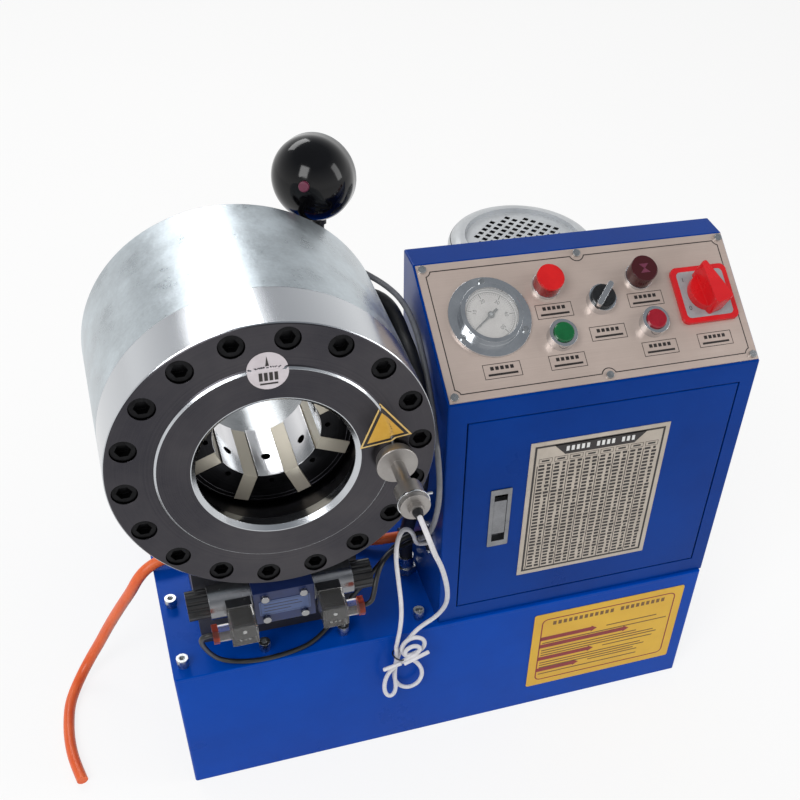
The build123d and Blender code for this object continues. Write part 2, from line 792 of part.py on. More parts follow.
latch_flange = 1.2
latch_wall = 1.5
latch_pin_radius = 1.5
latch_pin_z = latch_z + latch_cut_height / 2 - 14
latch_pin_y = cabinet_front + 3.2
lever_width = latch_cut_width - 2 * latch_wall - 2 * slide_fit
lever_length = 44.0
with BuildPart() as latch_plate:
    with BuildSketch(latch_plane):
        RectangleRounded(latch_width, latch_height, 1.5)
    extrude(amount=latch_flange)
    with BuildSketch(latch_plane):
        Rectangle(latch_cut_width, latch_cut_height)
    extrude(amount=-latch_depth)
    with BuildSketch(latch_plane.offset(latch_flange)):
        Rectangle(latch_cut_width - 2 * latch_wall, latch_cut_height - 2 * latch_wall)
    extrude(amount=-latch_flange - latch_depth + latch_wall, mode=Mode.SUBTRACT)
    latch_pin = side_plane(latch_x, latch_pin_y, latch_pin_z)
    with BuildSketch(latch_pin):
        Circle(latch_pin_radius)
    extrude(amount=latch_cut_width / 2, both=True)
latch_plate.part.label = "latch_plate"
export_step(latch_plate.part, "parts/latch_plate.step")

with BuildPart() as latch_lever:
    with BuildSketch(latch_pin):
        with BuildLine():
            Polyline((-3.8, 3.5), (2.2, 3.5), (2.2, -lever_length), (-3.8, -lever_length), close=True)
        make_face()
        Circle(latch_pin_radius + shaft_fit, mode=Mode.SUBTRACT)
    extrude(amount=lever_width / 2, both=True)
latch_lever.part.label = "latch_lever"
export_step(latch_lever.part, "parts/latch_lever.step")

table_left = door_left + 71.1
table_right = door_right - 74.5
table_foot = door_foot + 33.9
table_head = door_head - 39.1
sheet_plate = 0.8
with BuildPart() as size_plate:
    middle = ((table_left + table_right) / 2, cabinet_front - seat, (table_foot + table_head) / 2)
    with BuildSketch(front_plane(*middle)):
        Rectangle(table_right - table_left, table_head - table_foot)
    extrude(amount=sheet_plate)
size_plate.part.label = "size_plate"
export_step(size_plate.part, "parts/size_plate.step")

notice_left = tank_width - 220.0
notice_right = tank_width - 18.0
notice_foot = tank_height - 150.0
notice_head = tank_height - 15.0
with BuildPart() as instruction_plate:
    with BuildSketch(front_plane((notice_left + notice_right) / 2, -seat, (notice_foot + notice_head) / 2)):
        RectangleRounded(notice_right - notice_left, notice_head - notice_foot, 3)
    extrude(amount=sheet_plate)
instruction_plate.part.label = "instruction_plate"
export_step(instruction_plate.part, "parts/instruction_plate.step")

# ------------------------------------------------------- sloped control panel
with BuildPart() as control_plate:
    with BuildSketch(panel_plane(cabinet_width / 2, panel_height / 2, seat)):
        Rectangle(cabinet_width - 2 * plate_inset, panel_height - 2 * plate_inset)
    extrude(amount=plate_thickness)
    with BuildSketch(panel_plane(0, 0, seat)):
        with Locations(*bezel_places, main_switch_place):
            Circle(device_bore)
        with Locations(gauge_place):
            Circle(gauge_case_radius + slide_fit)
        with Locations(*plate_screw_places):
            Circle(plate_screw_radius + seat)
    extrude(amount=plate_thickness, mode=Mode.SUBTRACT)
control_plate.part.label = "control_plate"
export_step(control_plate.part, "parts/control_plate.step")

plate_face = seat + plate_thickness
gauge_flange_radius = 42.5
gauge_flange = 3.0
gauge_bezel_height = 9.0
gauge_bezel_radius = 31.5
gauge_window_radius = 27.0
gauge_depth = 38.0
gauge_screw_circle = 37.5
gauge_face = plate_face + seat + gauge_flange
with BuildPart() as plate_screws:
    with BuildSketch(panel_plane(0, 0, plate_face + seat)):
        with Locations(*plate_screw_places):
            Circle(4.0)
    extrude(amount=2.4)
    with BuildSketch(panel_plane(0, 0, plate_face + seat)):
        with Locations(*plate_screw_places):
            Circle(plate_screw_radius)
    extrude(amount=-8)
    with BuildSketch(panel_plane(*gauge_place, gauge_face + seat)):
        with Locations(*on_circle(gauge_screw_circle, 3)):
            Circle(3.2)
    extrude(amount=1.8)
plate_screws.part.label = "plate_screws"
export_step(plate_screws.part, "parts/plate_screws.step")

dial_depth = 7.0
dial_face = gauge_face + gauge_bezel_height - dial_depth
pin_radius = 1.5
with BuildPart() as gauge_case:
    with BuildSketch(panel_plane(*gauge_place, plate_face + seat)):
        Circle(gauge_flange_radius)
    extrude(amount=gauge_flange)
    with BuildSketch(panel_plane(*gauge_place, gauge_face)):
        Circle(gauge_bezel_radius)
    extrude(amount=gauge_bezel_height)
    with BuildSketch(panel_plane(*gauge_place, plate_face + seat)):
        Circle(gauge_case_radius)
    extrude(amount=-gauge_depth)
    with BuildSketch(panel_plane(*gauge_place, gauge_face + gauge_bezel_height)):
        Circle(gauge_window_radius)
    extrude(amount=-dial_depth, mode=Mode.SUBTRACT)
    with BuildSketch(panel_plane(*gauge_place, dial_face)):
        Circle(pin_radius)
    extrude(amount=3.5)
gauge_case.part.label = "gauge_case"
export_step(gauge_case.part, "parts/gauge_case.step")

needle_angle = 215.0
needle_length = 24.0
with BuildPart() as gauge_needle:
    with BuildSketch(panel_plane(*gauge_place, dial_face + 1.5)):
        Circle(3.5)
        Polygon(
            (-9, -1.4),
            (needle_length, -0.35),
            (needle_length, 0.35),
            (-9, 1.4),
            rotation=needle_angle,
            align=None,
        )
        Circle(pin_radius + shaft_fit, mode=Mode.SUBTRACT)
    extrude(amount=1.2)
gauge_needle.part.label = "gauge_needle"
export_step(gauge_needle.part, "parts/gauge_needle.step")

bezel_radius = 14.75
push_bezel_height = 12.0
selector_bezel_height = 10.0
lamp_bezel_height = 4.0
bezel_heights = [push_bezel_height] * 2 + [selector_bezel_height] + [lamp_bezel_height] * 2
cap_bore = 10.8
button_radius = cap_bore - slide_fit
stem_bore = 8.0
travel = 3.5
button_proud = 3.0
device_depth = 26.0
with BuildPart() as button_bezels:
    for place, height in zip(bezel_places, bezel_heights):
        with BuildSketch(panel_plane(*place, plate_face + seat)):
            Circle(bezel_radius)
        extrude(amount=height)
        with BuildSketch(panel_plane(*place, plate_face + seat)):
            Circle(device_radius)
        extrude(amount=-device_depth)
        with BuildSketch(panel_plane(*place, plate_face + seat + height)):
            Circle(cap_bore)
        extrude(amount=-height, mode=Mode.SUBTRACT)
        with BuildSketch(panel_plane(*place, plate_face + seat)):
            Circle(stem_bore + shaft_fit)
        extrude(amount=-device_depth + 2, mode=Mode.SUBTRACT)
button_bezels.part.label = "button_bezels"
export_step(button_bezels.part, "parts/button_bezels.step")

push_face = plate_face + seat + push_bezel_height
with BuildPart() as green_button:
    with BuildSketch(panel_plane(*green_place, push_face + button_proud)):
        Circle(button_radius)
    extrude(amount=-button_proud - push_bezel_height + travel + slide_fit)
    chamfer(green_button.edges().group_by(Axis.Z)[-1], 0.8)
    with BuildSketch(panel_plane(*green_place, push_face)):
        Circle(stem_bore)
    extrude(amount=-push_bezel_height - 18)
green_button.part.label = "green_button"
export_step(green_button.part, "parts/green_button.step")

with BuildPart() as red_button:
    with BuildSketch(panel_plane(*red_place, push_face + button_proud)):
        Circle(button_radius)
    extrude(amount=-button_proud - push_bezel_height + travel + slide_fit)
    chamfer(red_button.edges().group_by(Axis.Z)[-1], 0.8)
    with BuildSketch(panel_plane(*red_place, push_face)):
        Circle(stem_bore)
    extrude(amount=-push_bezel_height - 18)
red_button.part.label = "red_button"
export_step(red_button.part, "parts/red_button.step")

lamp_face = plate_face + seat + lamp_bezel_height
lens_radius = 14.2
lens_height = 16.0
with BuildPart() as signal_lamps:
    for place in (pilot_place, buzzer_place):
        with BuildSketch(panel_plane(*place, lamp_face)):
            Circle(button_radius)
        extrude(amount=-lamp_bezel_height + seat)
        with BuildSketch(panel_plane(*place, lamp_face)):
            Circle(lens_radius)
        extrude(amount=lens_height)
signal_lamps.part.label = "signal_lamps"
export_step(signal_lamps.part, "parts/signal_lamps.step")

selector_face = plate_face + seat + selector_bezel_height
selector_angle = 48.0
with BuildPart() as selector_knob:
    with BuildSketch(panel_plane(*selector_place, selector_face + slide_fit)):
        Circle(12.5)
    extrude(amount=3.5)
    with BuildSketch(panel_plane(*selector_place, selector_face + slide_fit)):
        SlotCenterToCenter(25, 6, rotation=selector_angle)
    extrude(amount=9)
    with BuildSketch(panel_plane(*selector_place, selector_face + slide_fit)):
        Circle(button_radius)
    extrude(amount=-selector_bezel_height + slide_fit)
    with BuildSketch(panel_plane(*selector_place, selector_face)):
        Circle(stem_bore)
    extrude(amount=-selector_bezel_height - 18)
selector_knob.part.label = "selector_knob"
export_step(selector_knob.part, "parts/selector_knob.step")

switch_plate_size = (65.0, 63.0)
switch_plate_height = 4.0
with BuildPart() as switch_plate:
    with BuildSketch(panel_plane(*main_switch_place, plate_face + seat)):
        RectangleRounded(*switch_plate_size, 7)
    extrude(amount=switch_plate_height)
    with BuildSketch(panel_plane(*main_switch_place, plate_face + seat)):
        Circle(device_radius)
    extrude(amount=-40)
    with BuildSketch(panel_plane(*main_switch_place, plate_face + seat + switch_plate_height)):
        Circle(switch_shaft_radius + shaft_fit)
    extrude(amount=-20, mode=Mode.SUBTRACT)
switch_plate.part.label = "switch_plate"
export_step(switch_plate.part, "parts/switch_plate.step")

handle_face = plate_face + seat + switch_plate_height + slide_fit
handle_angle = 105.0
with BuildPart() as switch_handle:
    with BuildSketch(panel_plane(*main_switch_place, handle_face)):
        Circle(20)
    extrude(amount=9)
    with BuildSketch(panel_plane(*main_switch_place, handle_face)) as grip:
        Polygon(
            (24, 3),
            (-18, 10.5),
            (-23, 9),
            (-23, -9),
            (-18, -10.5),
            (24, -3),
            rotation=handle_angle,
            align=None,
        )
        fillet(grip.vertices(), 2.5)
    extrude(amount=27)
    with BuildSketch(panel_plane(*main_switch_place, handle_face)):
        Circle(switch_shaft_radius)
    extrude(amount=-18)
switch_handle.part.label = "switch_handle"
export_step(switch_handle.part, "parts/switch_handle.step")

# ------------------------------------------- contactor inside the cabinet
rail_z = lid_top + 140.0
rail_length = 220.0
contactor_width = 45.0
cabinet_back_inside = cabinet_front + cabinet_depth - cabinet_sheet
with BuildPart() as contactors:
    back_plane = front_plane(cabinet_left + cabinet_width / 2, cabinet_back_inside - seat, rail_z)
    with BuildSketch(back_plane):
        Rectangle(rail_length, 35)
    extrude(amount=7.5)
    with BuildSketch(back_plane.offset(7.5 - 0.5)):
        with Locations((-70, 0), (-15, 0), (45, 0)):
            Rectangle(contactor_width, 74)
    extrude(amount=70)
    with BuildSketch(back_plane.offset(77 - 0.5)):
        with Locations((-70, 0), (-15, 0), (45, 0)):
            Rectangle(contactor_width - 14, 30)
    extrude(amount=8)
contactors.part.label = "contactors"
export_step(contactors.part, "parts/contactors.step")

# ===================================================== motor, pump and filter
motor_foot = Plane(origin=spot(motor_x, motor_y, lid_top + seat))
rotor_top = cowl_top - 26.0
fan_foot = motor_body_top + 20.0
fin_count = 36
fin_thickness = 3.0
fin_length = motor_radius - motor_core_radius + 1
terminal_depth = 32.0
terminal_z = lid_top + 110.0
terminal_size = 84.0
with BuildPart() as motor_body:
    with BuildSketch(motor_foot):
        Circle(motor_flange_radius)
    extrude(amount=motor_flange)
    with BuildSketch(motor_foot.offset(motor_flange)):
        Circle(motor_core_radius)
        with PolarLocations(motor_radius - fin_length / 2, fin_count):
            Rectangle(fin_length, fin_thickness)
    extrude(amount=motor_body_top - lid_top - motor_flange)
    with BuildSketch(motor_foot):
        Circle(shaft_radius + shaft_fit)
    extrude(amount=motor_body_top - lid_top, mode=Mode.SUBTRACT)
with BuildPart() as terminal_box:
    with BuildSketch(side_plane(motor_x + motor_radius + seat, motor_y, terminal_z)):
        RectangleRounded(terminal_size, terminal_size, 5)
    extrude(amount=terminal_depth)
motor_frame = Compound(label="motor_body", children=[motor_body.part, terminal_box.part])
export_step(motor_frame, "parts/motor_body.step")

grille_pitch = 10.4
grille_hole = 6.4
grille_radius = 63.0
grille_count = 13
grille_steps = [grille_pitch * (i - grille_count // 2) for i in range(grille_count)]
grille_places = [(x, y) for x in grille_steps for y in grille_steps]
grille_places = [p for p in grille_places if 8 < hypot(*p) < grille_radius - grille_hole / 2]
cowl_shoulder = 16.0
rim_radius = cowl_radius - cowl_shoulder
with BuildPart() as fan_cowl:
    with BuildSketch(front_plane(motor_x, motor_y, 0)):
        with BuildLine():
            outer_side = Line((cowl_radius, cowl_foot), (cowl_radius, cowl_top - cowl_shoulder))
            shoulder = TangentArc(outer_side @ 1, (rim_radius, cowl_top), tangent=(0, 1))
            lip = Polyline(
                shoulder @ 1,
                (rim_radius - cowl_sheet - 2, cowl_top),
                (rim_radius - cowl_sheet - 2, cowl_top - 6),
                (0, cowl_top - 6),
                (0, cowl_top - 6 - cowl_sheet),
                (rim_radius - 2, cowl_top - 6 - cowl_sheet),
                (rim_radius, cowl_top - cowl_sheet),
            )
            inner_shoulder = TangentArc(
                lip @ 1,
                (cowl_radius - cowl_sheet, cowl_top - cowl_shoulder),
                tangent=(1, 0),
            )
            Polyline(inner_shoulder @ 1, (cowl_radius - cowl_sheet, cowl_foot), (cowl_radius, cowl_foot))
        make_face()
    revolve(axis=Axis(spot(motor_x, motor_y, 0), (0, 0, 1)))
    grille_plane = Plane(origin=spot(motor_x, motor_y, cowl_top), x_dir=(1, 1, 0), z_dir=(0, 0, 1))
    with BuildSketch(grille_plane):
        with Locations(*grille_places):
            Rectangle(grille_hole, grille_hole)
    extrude(amount=-12, mode=Mode.SUBTRACT)
    lug_width = cowl_radius - cowl_sheet / 2 - motor_radius - seat
    with BuildSketch(Plane(origin=spot(motor_x, motor_y, cowl_foot))):
        with PolarLocations(motor_radius + seat + lug_width / 2, 4, start_angle=40):
            Rectangle(lug_width, 8)
    extrude(amount=4)
fan_cowl.part.label = "fan_cowl"
export_step(fan_cowl.part, "parts/fan_cowl.step")

pump_top = tank_height - 6.0
pump_height = 62.0
pump_width = 90.0
pump_depth = 76.0
shaft_foot = pump_top - 40.0
with BuildPart() as rotor_shaft:
    with BuildSketch(Plane(origin=spot(motor_x, motor_y, shaft_foot))):
        Circle(shaft_radius)
    extrude(amount=rotor_top - shaft_foot)
with BuildPart() as cooling_fan:
    fan_plane = Plane(origin=spot(motor_x, motor_y, fan_foot))
    with BuildSketch(fan_plane):
        Circle(22)
    extrude(amount=rotor_top - fan_foot)
    with BuildSketch(fan_plane):
        Circle(76)
    extrude(amount=3)
    with BuildSketch(fan_plane):
        with PolarLocations(46, 8):
            Rectangle(58, 3)
    extrude(amount=rotor_top - fan_foot)
    with BuildSketch(fan_plane):
        Circle(shaft_radius + seat)
    extrude(amount=rotor_top - fan_foot, mode=Mode.SUBTRACT)
motor_rotor = Compound(label="motor_rotor", children=[rotor_shaft.part, cooling_fan.part])
export_step(motor_rotor, "parts/motor_rotor.step")

filter_radius = 34.0
filter_height = 60.0
with BuildPart() as pump_case:
    with BuildSketch(Plane(origin=spot(motor_x, motor_y, lid_top - seat))):
        Circle(pump_radius)
    extrude(amount=pump_top - lid_top - seat)
    with BuildSketch(Plane(origin=spot(motor_x, motor_y, pump_top))):
        RectangleRounded(pump_width, pump_depth, 8)
    extrude(amount=-pump_height)
    with BuildSketch(Plane(origin=spot(motor_x, motor_y, lid_top))):
        Circle(shaft_radius + shaft_fit)
    extrude(amount=shaft_foot - 2 - lid_top, mode=Mode.SUBTRACT)
with BuildPart() as suction_filter:
    with BuildSketch(Plane(origin=spot(motor_x, motor_y, pump_top - pump_height - seat))):
        Circle(12)
    extrude(amount=-20)
    with BuildSketch(Plane(origin=spot(motor_x, motor_y, pump_top - pump_height - seat - 20))):
        Circle(filter_radius)
    extrude(amount=-filter_height)
pump = Compound(label="pump", children=[pump_case.part, suction_filter.part])
export_step(pump, "parts/pump.step")

# ================================================================ work lamp
shade_x = head_x + 98.7
shade_y = 230.0
shade_z = head_z + 127.8
shade_centre = Vector(*spot(shade_x, shade_y, shade_z))
shade_way = Vector(-0.390, -0.884, 0.257).normalized()
shade_sideways = shade_way.cross(Vector(0, 0, 1)).normalized()
shade_down = shade_way.cross(shade_sideways).normalized()
shade_radius = 40.6
shade_skirt = 15.0
shade_sheet = 1.6
boss_radius = 9.0
boss_length = 19.0
lamp_button_bore = 5.3
lamp_button_sink = 4.0
lamp_button_travel = 3.0
lamp_stem_radius = 2.0
knuckle_back = 29.0  # knuckle's pin behind the shade's widest part
knuckle_drop = 33.0
knuckle_radius = 7.0
knuckle_pin = 2.5
lug_thickness = 6.0
cheek_thickness = 3.0
knuckle = shade_centre - shade_way * knuckle_back + shade_down * knuckle_drop
shade_plane = Plane(origin=shade_centre, x_dir=shade_way, z_dir=shade_way.cross(shade_down))
knuckle_plane = Plane(origin=knuckle, x_dir=shade_way, z_dir=shade_way.cross(shade_down))


def on_shade(height):
    """Plane across the shade's axis, some height above its dome."""
    return Plane(origin=shade_centre + shade_way * (shade_radius + height), z_dir=shade_way)


with BuildPart() as shade_shell:
    with BuildSketch(shade_plane):
        with BuildLine():
            inside = shade_radius - shade_sheet
            Polyline((0, inside), (-shade_skirt, inside), (-shade_skirt, shade_radius), (0, shade_radius))
            CenterArc((0, 0), shade_radius, 90, -90)
            Line((shade_radius, 0), (inside, 0))
            CenterArc((0, 0), inside, 0, 90)
        make_face()
    revolve(axis=Axis(shade_centre, shade_way))
    with BuildSketch(on_shade(-1)):
        Circle(boss_radius)
    extrude(amount=-boss_length)
    with BuildSketch(on_shade(1)):
        Circle(lamp_button_bore)
    extrude(amount=-1 - lamp_button_sink, mode=Mode.SUBTRACT)
    with BuildSketch(on_shade(0)):
        Circle(lamp_stem_radius + shaft_fit)
    extrude(amount=-16, mode=Mode.SUBTRACT)
    with BuildSketch(knuckle_plane):
        with BuildLine():
            rim = knuckle_back - shade_skirt
            Polyline(
                (0, -knuckle_radius),
                (rim + 3, shade_radius - shade_sheet / 2 - knuckle_drop - 5),
                (rim + 3, shade_radius - shade_sheet / 2 - knuckle_drop),
                (0, knuckle_radius),
                close=True,
            )
        make_face()
        Circle(knuckle_radius)
        Circle(knuckle_pin + shaft_fit, mode=Mode.SUBTRACT)
    extrude(amount=lug_thickness / 2, both=True)
with BuildPart() as light_disc:
    with BuildSketch(on_shade(-1 - boss_length - seat)):
        Circle(28)
    extrude(amount=-2)
lamp_shade = Compound(label="lamp_shade", children=[shade_shell.part, light_disc.part])
export_step(lamp_shade, "parts/lamp_shade.step")

with BuildPart() as lamp_switch:
    rest = lamp_button_travel + slide_fit - lamp_button_sink
    with BuildSketch(on_shade(rest)):
        Circle(lamp_button_bore - slide_fit)
    extrude(amount=5)
    rims = lamp_switch.edges().filter_by(GeomType.CIRCLE)
    fillet(rims.sort_by_distance(on_shade(20).origin)[0], 1.2)
    with BuildSketch(on_shade(rest)):
        Circle(lamp_stem_radius)
    extrude(amount=-10)
lamp_switch.part.label = "lamp_switch"
export_step(lamp_switch.part, "parts/lamp_switch.step")

magnet_x = head_x + 66.0
magnet_z = head_z + 94.2
magnet_radius = 20.0
magnet_height = 15.0
barrel_back = head_face + head_length
gooseneck_radius = 6.0
lead_way = Vector(0.889, 0, -0.458).normalized()
lead_stub = 4.7
fork_reach = 17.0
fork_inside = lug_thickness / 2 + slide_fit
neck_route = [
    (magnet_x, barrel_back + magnet_height, magnet_z),
    (191.8, 185, head_z + 92.8),
    (195, 200, head_z + 85.8),
    (204, 214, head_z + 76.8),
    (215, 226, head_z + 68.8),
    (224, 236, head_z + 62.8),
    (229, 241, head_z + 62.3),
]
with BuildPart() as magnet_base:
    with BuildSketch(Plane(origin=spot(magnet_x, barrel_back + seat, magnet_z), z_dir=(0, 1, 0))):
        Circle(magnet_radius)
    extrude(amount=magnet_height)
    lead_start = Vector(*spot(magnet_x, barrel_back + 8.3, magnet_z)) + lead_way * (magnet_radius - 1)
    with BuildSketch(Plane(origin=lead_start, z_dir=lead_way)):
        Circle(4.5)
    extrude(amount=lead_stub - 1)
neck_points = [spot(*p) for p in neck_route]
neck_points.append(tuple(knuckle + shade_down * fork_reach))
with BuildPart() as gooseneck:
    with BuildLine() as neck_line:
        FilletPolyline(*neck_points, radius=cord_radii(neck_points))
    with BuildSketch(Plane(origin=neck_line.line @ 0, z_dir=neck_line.line % 0)):
        Circle(gooseneck_radius)
    sweep()
with BuildPart() as knuckle_fork:
    with BuildSketch(Plane(origin=knuckle + shade_down * fork_reach, z_dir=-shade_down)):
        Circle(knuckle_radius + 1)
    extrude(amount=fork_reach - knuckle_radius - 1.5)
    for way in (-1, 1):
        with BuildSketch(knuckle_plane.offset(way * fork_inside)):
            Circle(knuckle_radius)
            with Locations((0, fork_reach / 2 - 1)):
                Rectangle(2 * knuckle_radius - 4, fork_reach - 2)
        extrude(amount=way * cheek_thickness)
    with BuildSketch(knuckle_plane):
        Circle(knuckle_pin)
    extrude(amount=fork_inside + cheek_thickness + 1.5, both=True)
lamp_arm = Compound(label="lamp_arm", children=[magnet_base.part, gooseneck.part, knuckle_fork.part])
export_step(lamp_arm, "parts/lamp_arm.step")

# ======================================================= fittings and glands
elbow_x = head_x + rear_port_radius * cos(radians(rear_port_turn))
elbow_z = head_z + rear_port_radius * sin(radians(rear_port_turn))
elbow_y = 175.0
elbow_end = 240.0
with BuildPart() as hose_fittings:
    with BuildSketch(head_plane(head_length + seat, rear_port_turn)):
        with Locations((rear_port_radius, 0)):
            Circle(port_radius)
    extrude(amount=rear_wall - 2)
    with BuildSketch(Plane(origin=spot(elbow_x, barrel_back + seat, elbow_z), z_dir=(0, 1, 0))):
        RegularPolygon(12, 6, major_radius=False)
    extrude(amount=8)
    with BuildSketch(Plane(origin=spot(elbow_x, barrel_back + seat, elbow_z), z_dir=(0, 1, 0))):
        Circle(10)
    extrude(amount=elbow_y - barrel_back + 10)
    with BuildSketch(side_plane(elbow_x, elbow_y, elbow_z)):
        Circle(8.5)
    extrude(amount=elbow_end - elbow_x)
    with BuildSketch(side_plane(elbow_end, elbow_y, elbow_z)):
        Circle(hose_diameter / 2 + 1.8)
    extrude(amount=-6)
    lid_seat = Plane(origin=spot(hose_x, hose_y, lid_top + seat))
    with BuildSketch(lid_seat):
        Circle(hose_port_radius)
    extrude(amount=-lid_thickness - 12)
    with BuildSketch(lid_seat):
        RegularPolygon(11, 6, major_radius=False, rotation=30)
    extrude(amount=10)
    with BuildSketch(lid_seat):
        Circle(hose_diameter / 2 + 1.8)
    extrude(amount=hose_fitting_height - seat)
hose_fittings.part.label = "hose_fittings"
export_step(hose_fittings.part, "parts/hose_fittings.step")

gland_lock = 5.0
with BuildPart() as cable_glands:
    outside_wall = side_plane(cabinet_left - seat, bush_y, bush_z)
    inside_wall = side_plane(cabinet_left + cabinet_sheet + seat, bush_y, bush_z)
    mains_spot = (mains_y - bush_y, mains_z - bush_z)
    with BuildSketch(outside_wall):
        Circle(bush_radius + 3.5)
    extrude(amount=-bush_face + seat)
    with BuildSketch(outside_wall):
        Circle(bush_radius)
        with Locations(mains_spot):
            Circle(mains_thread_radius)
    extrude(amount=cabinet_sheet + 2 * seat + gland_lock)
    with BuildSketch(inside_wall):
        RegularPolygon(bush_radius + 3, 8, major_radius=False)
        with Locations(mains_spot):
            RegularPolygon(mains_thread_radius + 2.5, 6, major_radius=False)
    extrude(amount=gland_lock)
    with BuildSketch(outside_wall):
        with Locations(mains_spot):
            RegularPolygon(mains_thread_radius + 2, 6, major_radius=False)
    extrude(amount=-5)
    with BuildSketch(outside_wall):
        with Locations(mains_spot):
            Circle(mains_thread_radius + 0.5)
    extrude(amount=-mains_nut + seat)
cable_glands.part.label = "cable_glands"
export_step(cable_glands.part, "parts/cable_glands.step")

# ============================================================ hose and cords
# Each route is a list of corners; the runs between them are joined by arcs.
hose_route = [
    (elbow_end, elbow_y, elbow_z),
    (256, elbow_y, elbow_z),
    (271.5, 169.5, lid_top + 336),
    (282, 157, lid_top + 331),
    (286, 138, lid_top + 324),
    (286, 114, lid_top + 319),
    (284.5, 89, lid_top + 320.5),
    (283, 65, lid_top + 315.5),
    (282.7, 46, lid_top + 300.5),
    (282.7, 34, lid_top + 278.5),
    (283, 30, lid_top + 250),
    (284.5, 35, lid_top + 214),
    (286, 45, lid_top + 173),
    (286, 63, lid_top + 135),
    (286, 83, lid_top + 98),
    (hose_x, hose_y, lid_top + 62),
    (hose_x, hose_y, lid_top + hose_fitting_height),
]
lamp_cable_route = [
    (212, 166, lid_top + 395),
    (224.5, 166, lid_top + 388.6),
    (243, 170, lid_top + 376),
    (262, 170, lid_top + 363),
    (279, 158, lid_top + 355),
    (290, 135, lid_top + 350),
    (294.5, 105, lid_top + 340),
    (294.8, 75, lid_top + 321),
    (294.8, 52, lid_top + 299),
    (294.2, 33, lid_top + 278),
    (291, 14, lid_top + 266),
    (289, -2, lid_top + 253),
    (288.5, -11, lid_top + 230),
    (288.5, -11, lid_top + 202),
    (289, -1, lid_top + 172),
    (289, 13, lid_top + 141),
    (286, 27, lid_top + 119),
    (285, 39, lid_top + 106),
    (287.5, 46, lid_top + 101),
    (296, 46, lid_top + 101),
]
switch_cord_front_route = [
    (232, -121.2, lid_top + 301),
    (232, -132, lid_top + 301),
    (234, -140.5, lid_top + 294.5),
    (238, -144.5, lid_top + 281),
    (244.5, -139.5, lid_top + 260),
    (253, -128, lid_top + 237),
    (265.2, -108, lid_top + 196.7),
    (277.7, -82, lid_top + 148.7),
    (286.5, -58, lid_top + 106.7),
    (291, -36, lid_top + 69.9),
    (286.5, -20, lid_top + 39),
    (276.5, -12, lid_top + 22.3),
    (265.8, -9, lid_top + 8.6),
    (255.4, -9, lid_top - 7.2),
]
switch_cord_rear_route = [
    (245, -9, lid_top - 11),
    (250, -9, lid_top + 19),
    (252, -6, lid_top + 51),
    (249, 0, lid_top + 94),
    (247.5, 4, lid_top + 120),
    (250.5, 10, lid_top + 137),
    (258, 19, lid_top + 144),
    (268, 28, lid_top + 136),
    (277, 37, lid_top + 117),
    (281, 43, lid_top + 99),
    (287, 46, lid_top + 91),
    (296, 46, lid_top + 91),
]
valve_cable_left_route = [
    (46.85, -22.6, lid_top + 86),
    (38.5, -22.6, lid_top + 86),
    (34.5, -19, lid_top + 77.5),
    (36, -12, lid_top + 60),
    (42, -2, lid_top + 35),
    (51, 5, lid_top + 14.5),
    (65, 6.5, lid_top + 4.5),
    (83, 3, lid_top + 3.2),
    (103, 2, lid_top + 3),
    (127, 4, lid_top + 3.1),
    (149, 9, lid_top + 3.4),
    (168, 20, lid_top + 6),
    (185, 32, lid_top + 16),
    (205, 37, lid_top + 35),
    (227, 39, lid_top + 63),
    (249, 43, lid_top + 88),
    (266, 50, lid_top + 99.5),
    (280, 54, lid_top + 101),
    (296, 54, lid_top + 101),
]
valve_cable_right_route = [
    (204.75, -22.6, lid_top + 86),
    (212.5, -22.6, lid_top + 86),
    (217.5, -18.5, lid_top + 95),
    (222, -10, lid_top + 107),
    (230, 2, lid_top + 115),
    (243, 18, lid_top + 114),
    (256, 33, lid_top + 104),
    (268, 45, lid_top + 94),
    (281, 54, lid_top + 91),
    (296, 54, lid_top + 91),
]
mains_cord_route = [
    (290, 140, lid_top + 16),
    (270, 140, lid_top + 16),
    (245, 149, lid_top + 11),
    (215, 163, lid_top + 7.3),
    (175, 173.5, lid_top + 7.5),
    (130, 177, lid_top + 6.9),
    (92, 178, lid_top + 7.4),
    (60, 178.5, lid_top + 9.6),
    (33, 178, lid_top + 12.4),
    (10, 176, lid_top + 13),
    (-7, 172, lid_top + 6.8),
    (-19.5, 169.8, lid_top - 6),
    (-29, 174, 163),
    (-45, 185, 130),
    (-65, 198, 87),
    (-82, 204, 52),
    (-97, 204, 28),
    (-110, 193, 15),
    (-121, 175, 9.5),
    (-130, 152, 7.2),
    (-134, 121, 6.6),
    (-134.5, 92, 6.9),
    (-131.5, 62, 6.6),
    (-125, 34, 6.6),
]


def make_cord(name, route, diameter):
    points = [spot(*p) for p in route]
    with BuildPart() as cord:
        with BuildLine() as path:
            FilletPolyline(*points, radius=cord_radii(points))
        with BuildSketch(Plane(origin=path.line @ 0, z_dir=path.line % 0)):
            Circle(diameter / 2)
        sweep()
    cord.part.label = name
    export_step(cord.part, f"parts/{name}.step")
    report_cord(name, points, cord.part.volume, sum(edge.length for edge in path.edges()), diameter)


make_cord("pressure_hose", hose_route, hose_diameter)
make_cord("lamp_cable", lamp_cable_route, cord_grey)
make_cord("switch_cord_front", switch_cord_front_route, cord_white)
make_cord("switch_cord_rear", switch_cord_rear_route, cord_white)
make_cord("valve_cable_left", valve_cable_left_route, cord_black)
make_cord("valve_cable_right", valve_cable_right_route, cord_black)
make_cord("mains_cord", mains_cord_route, cord_orange)

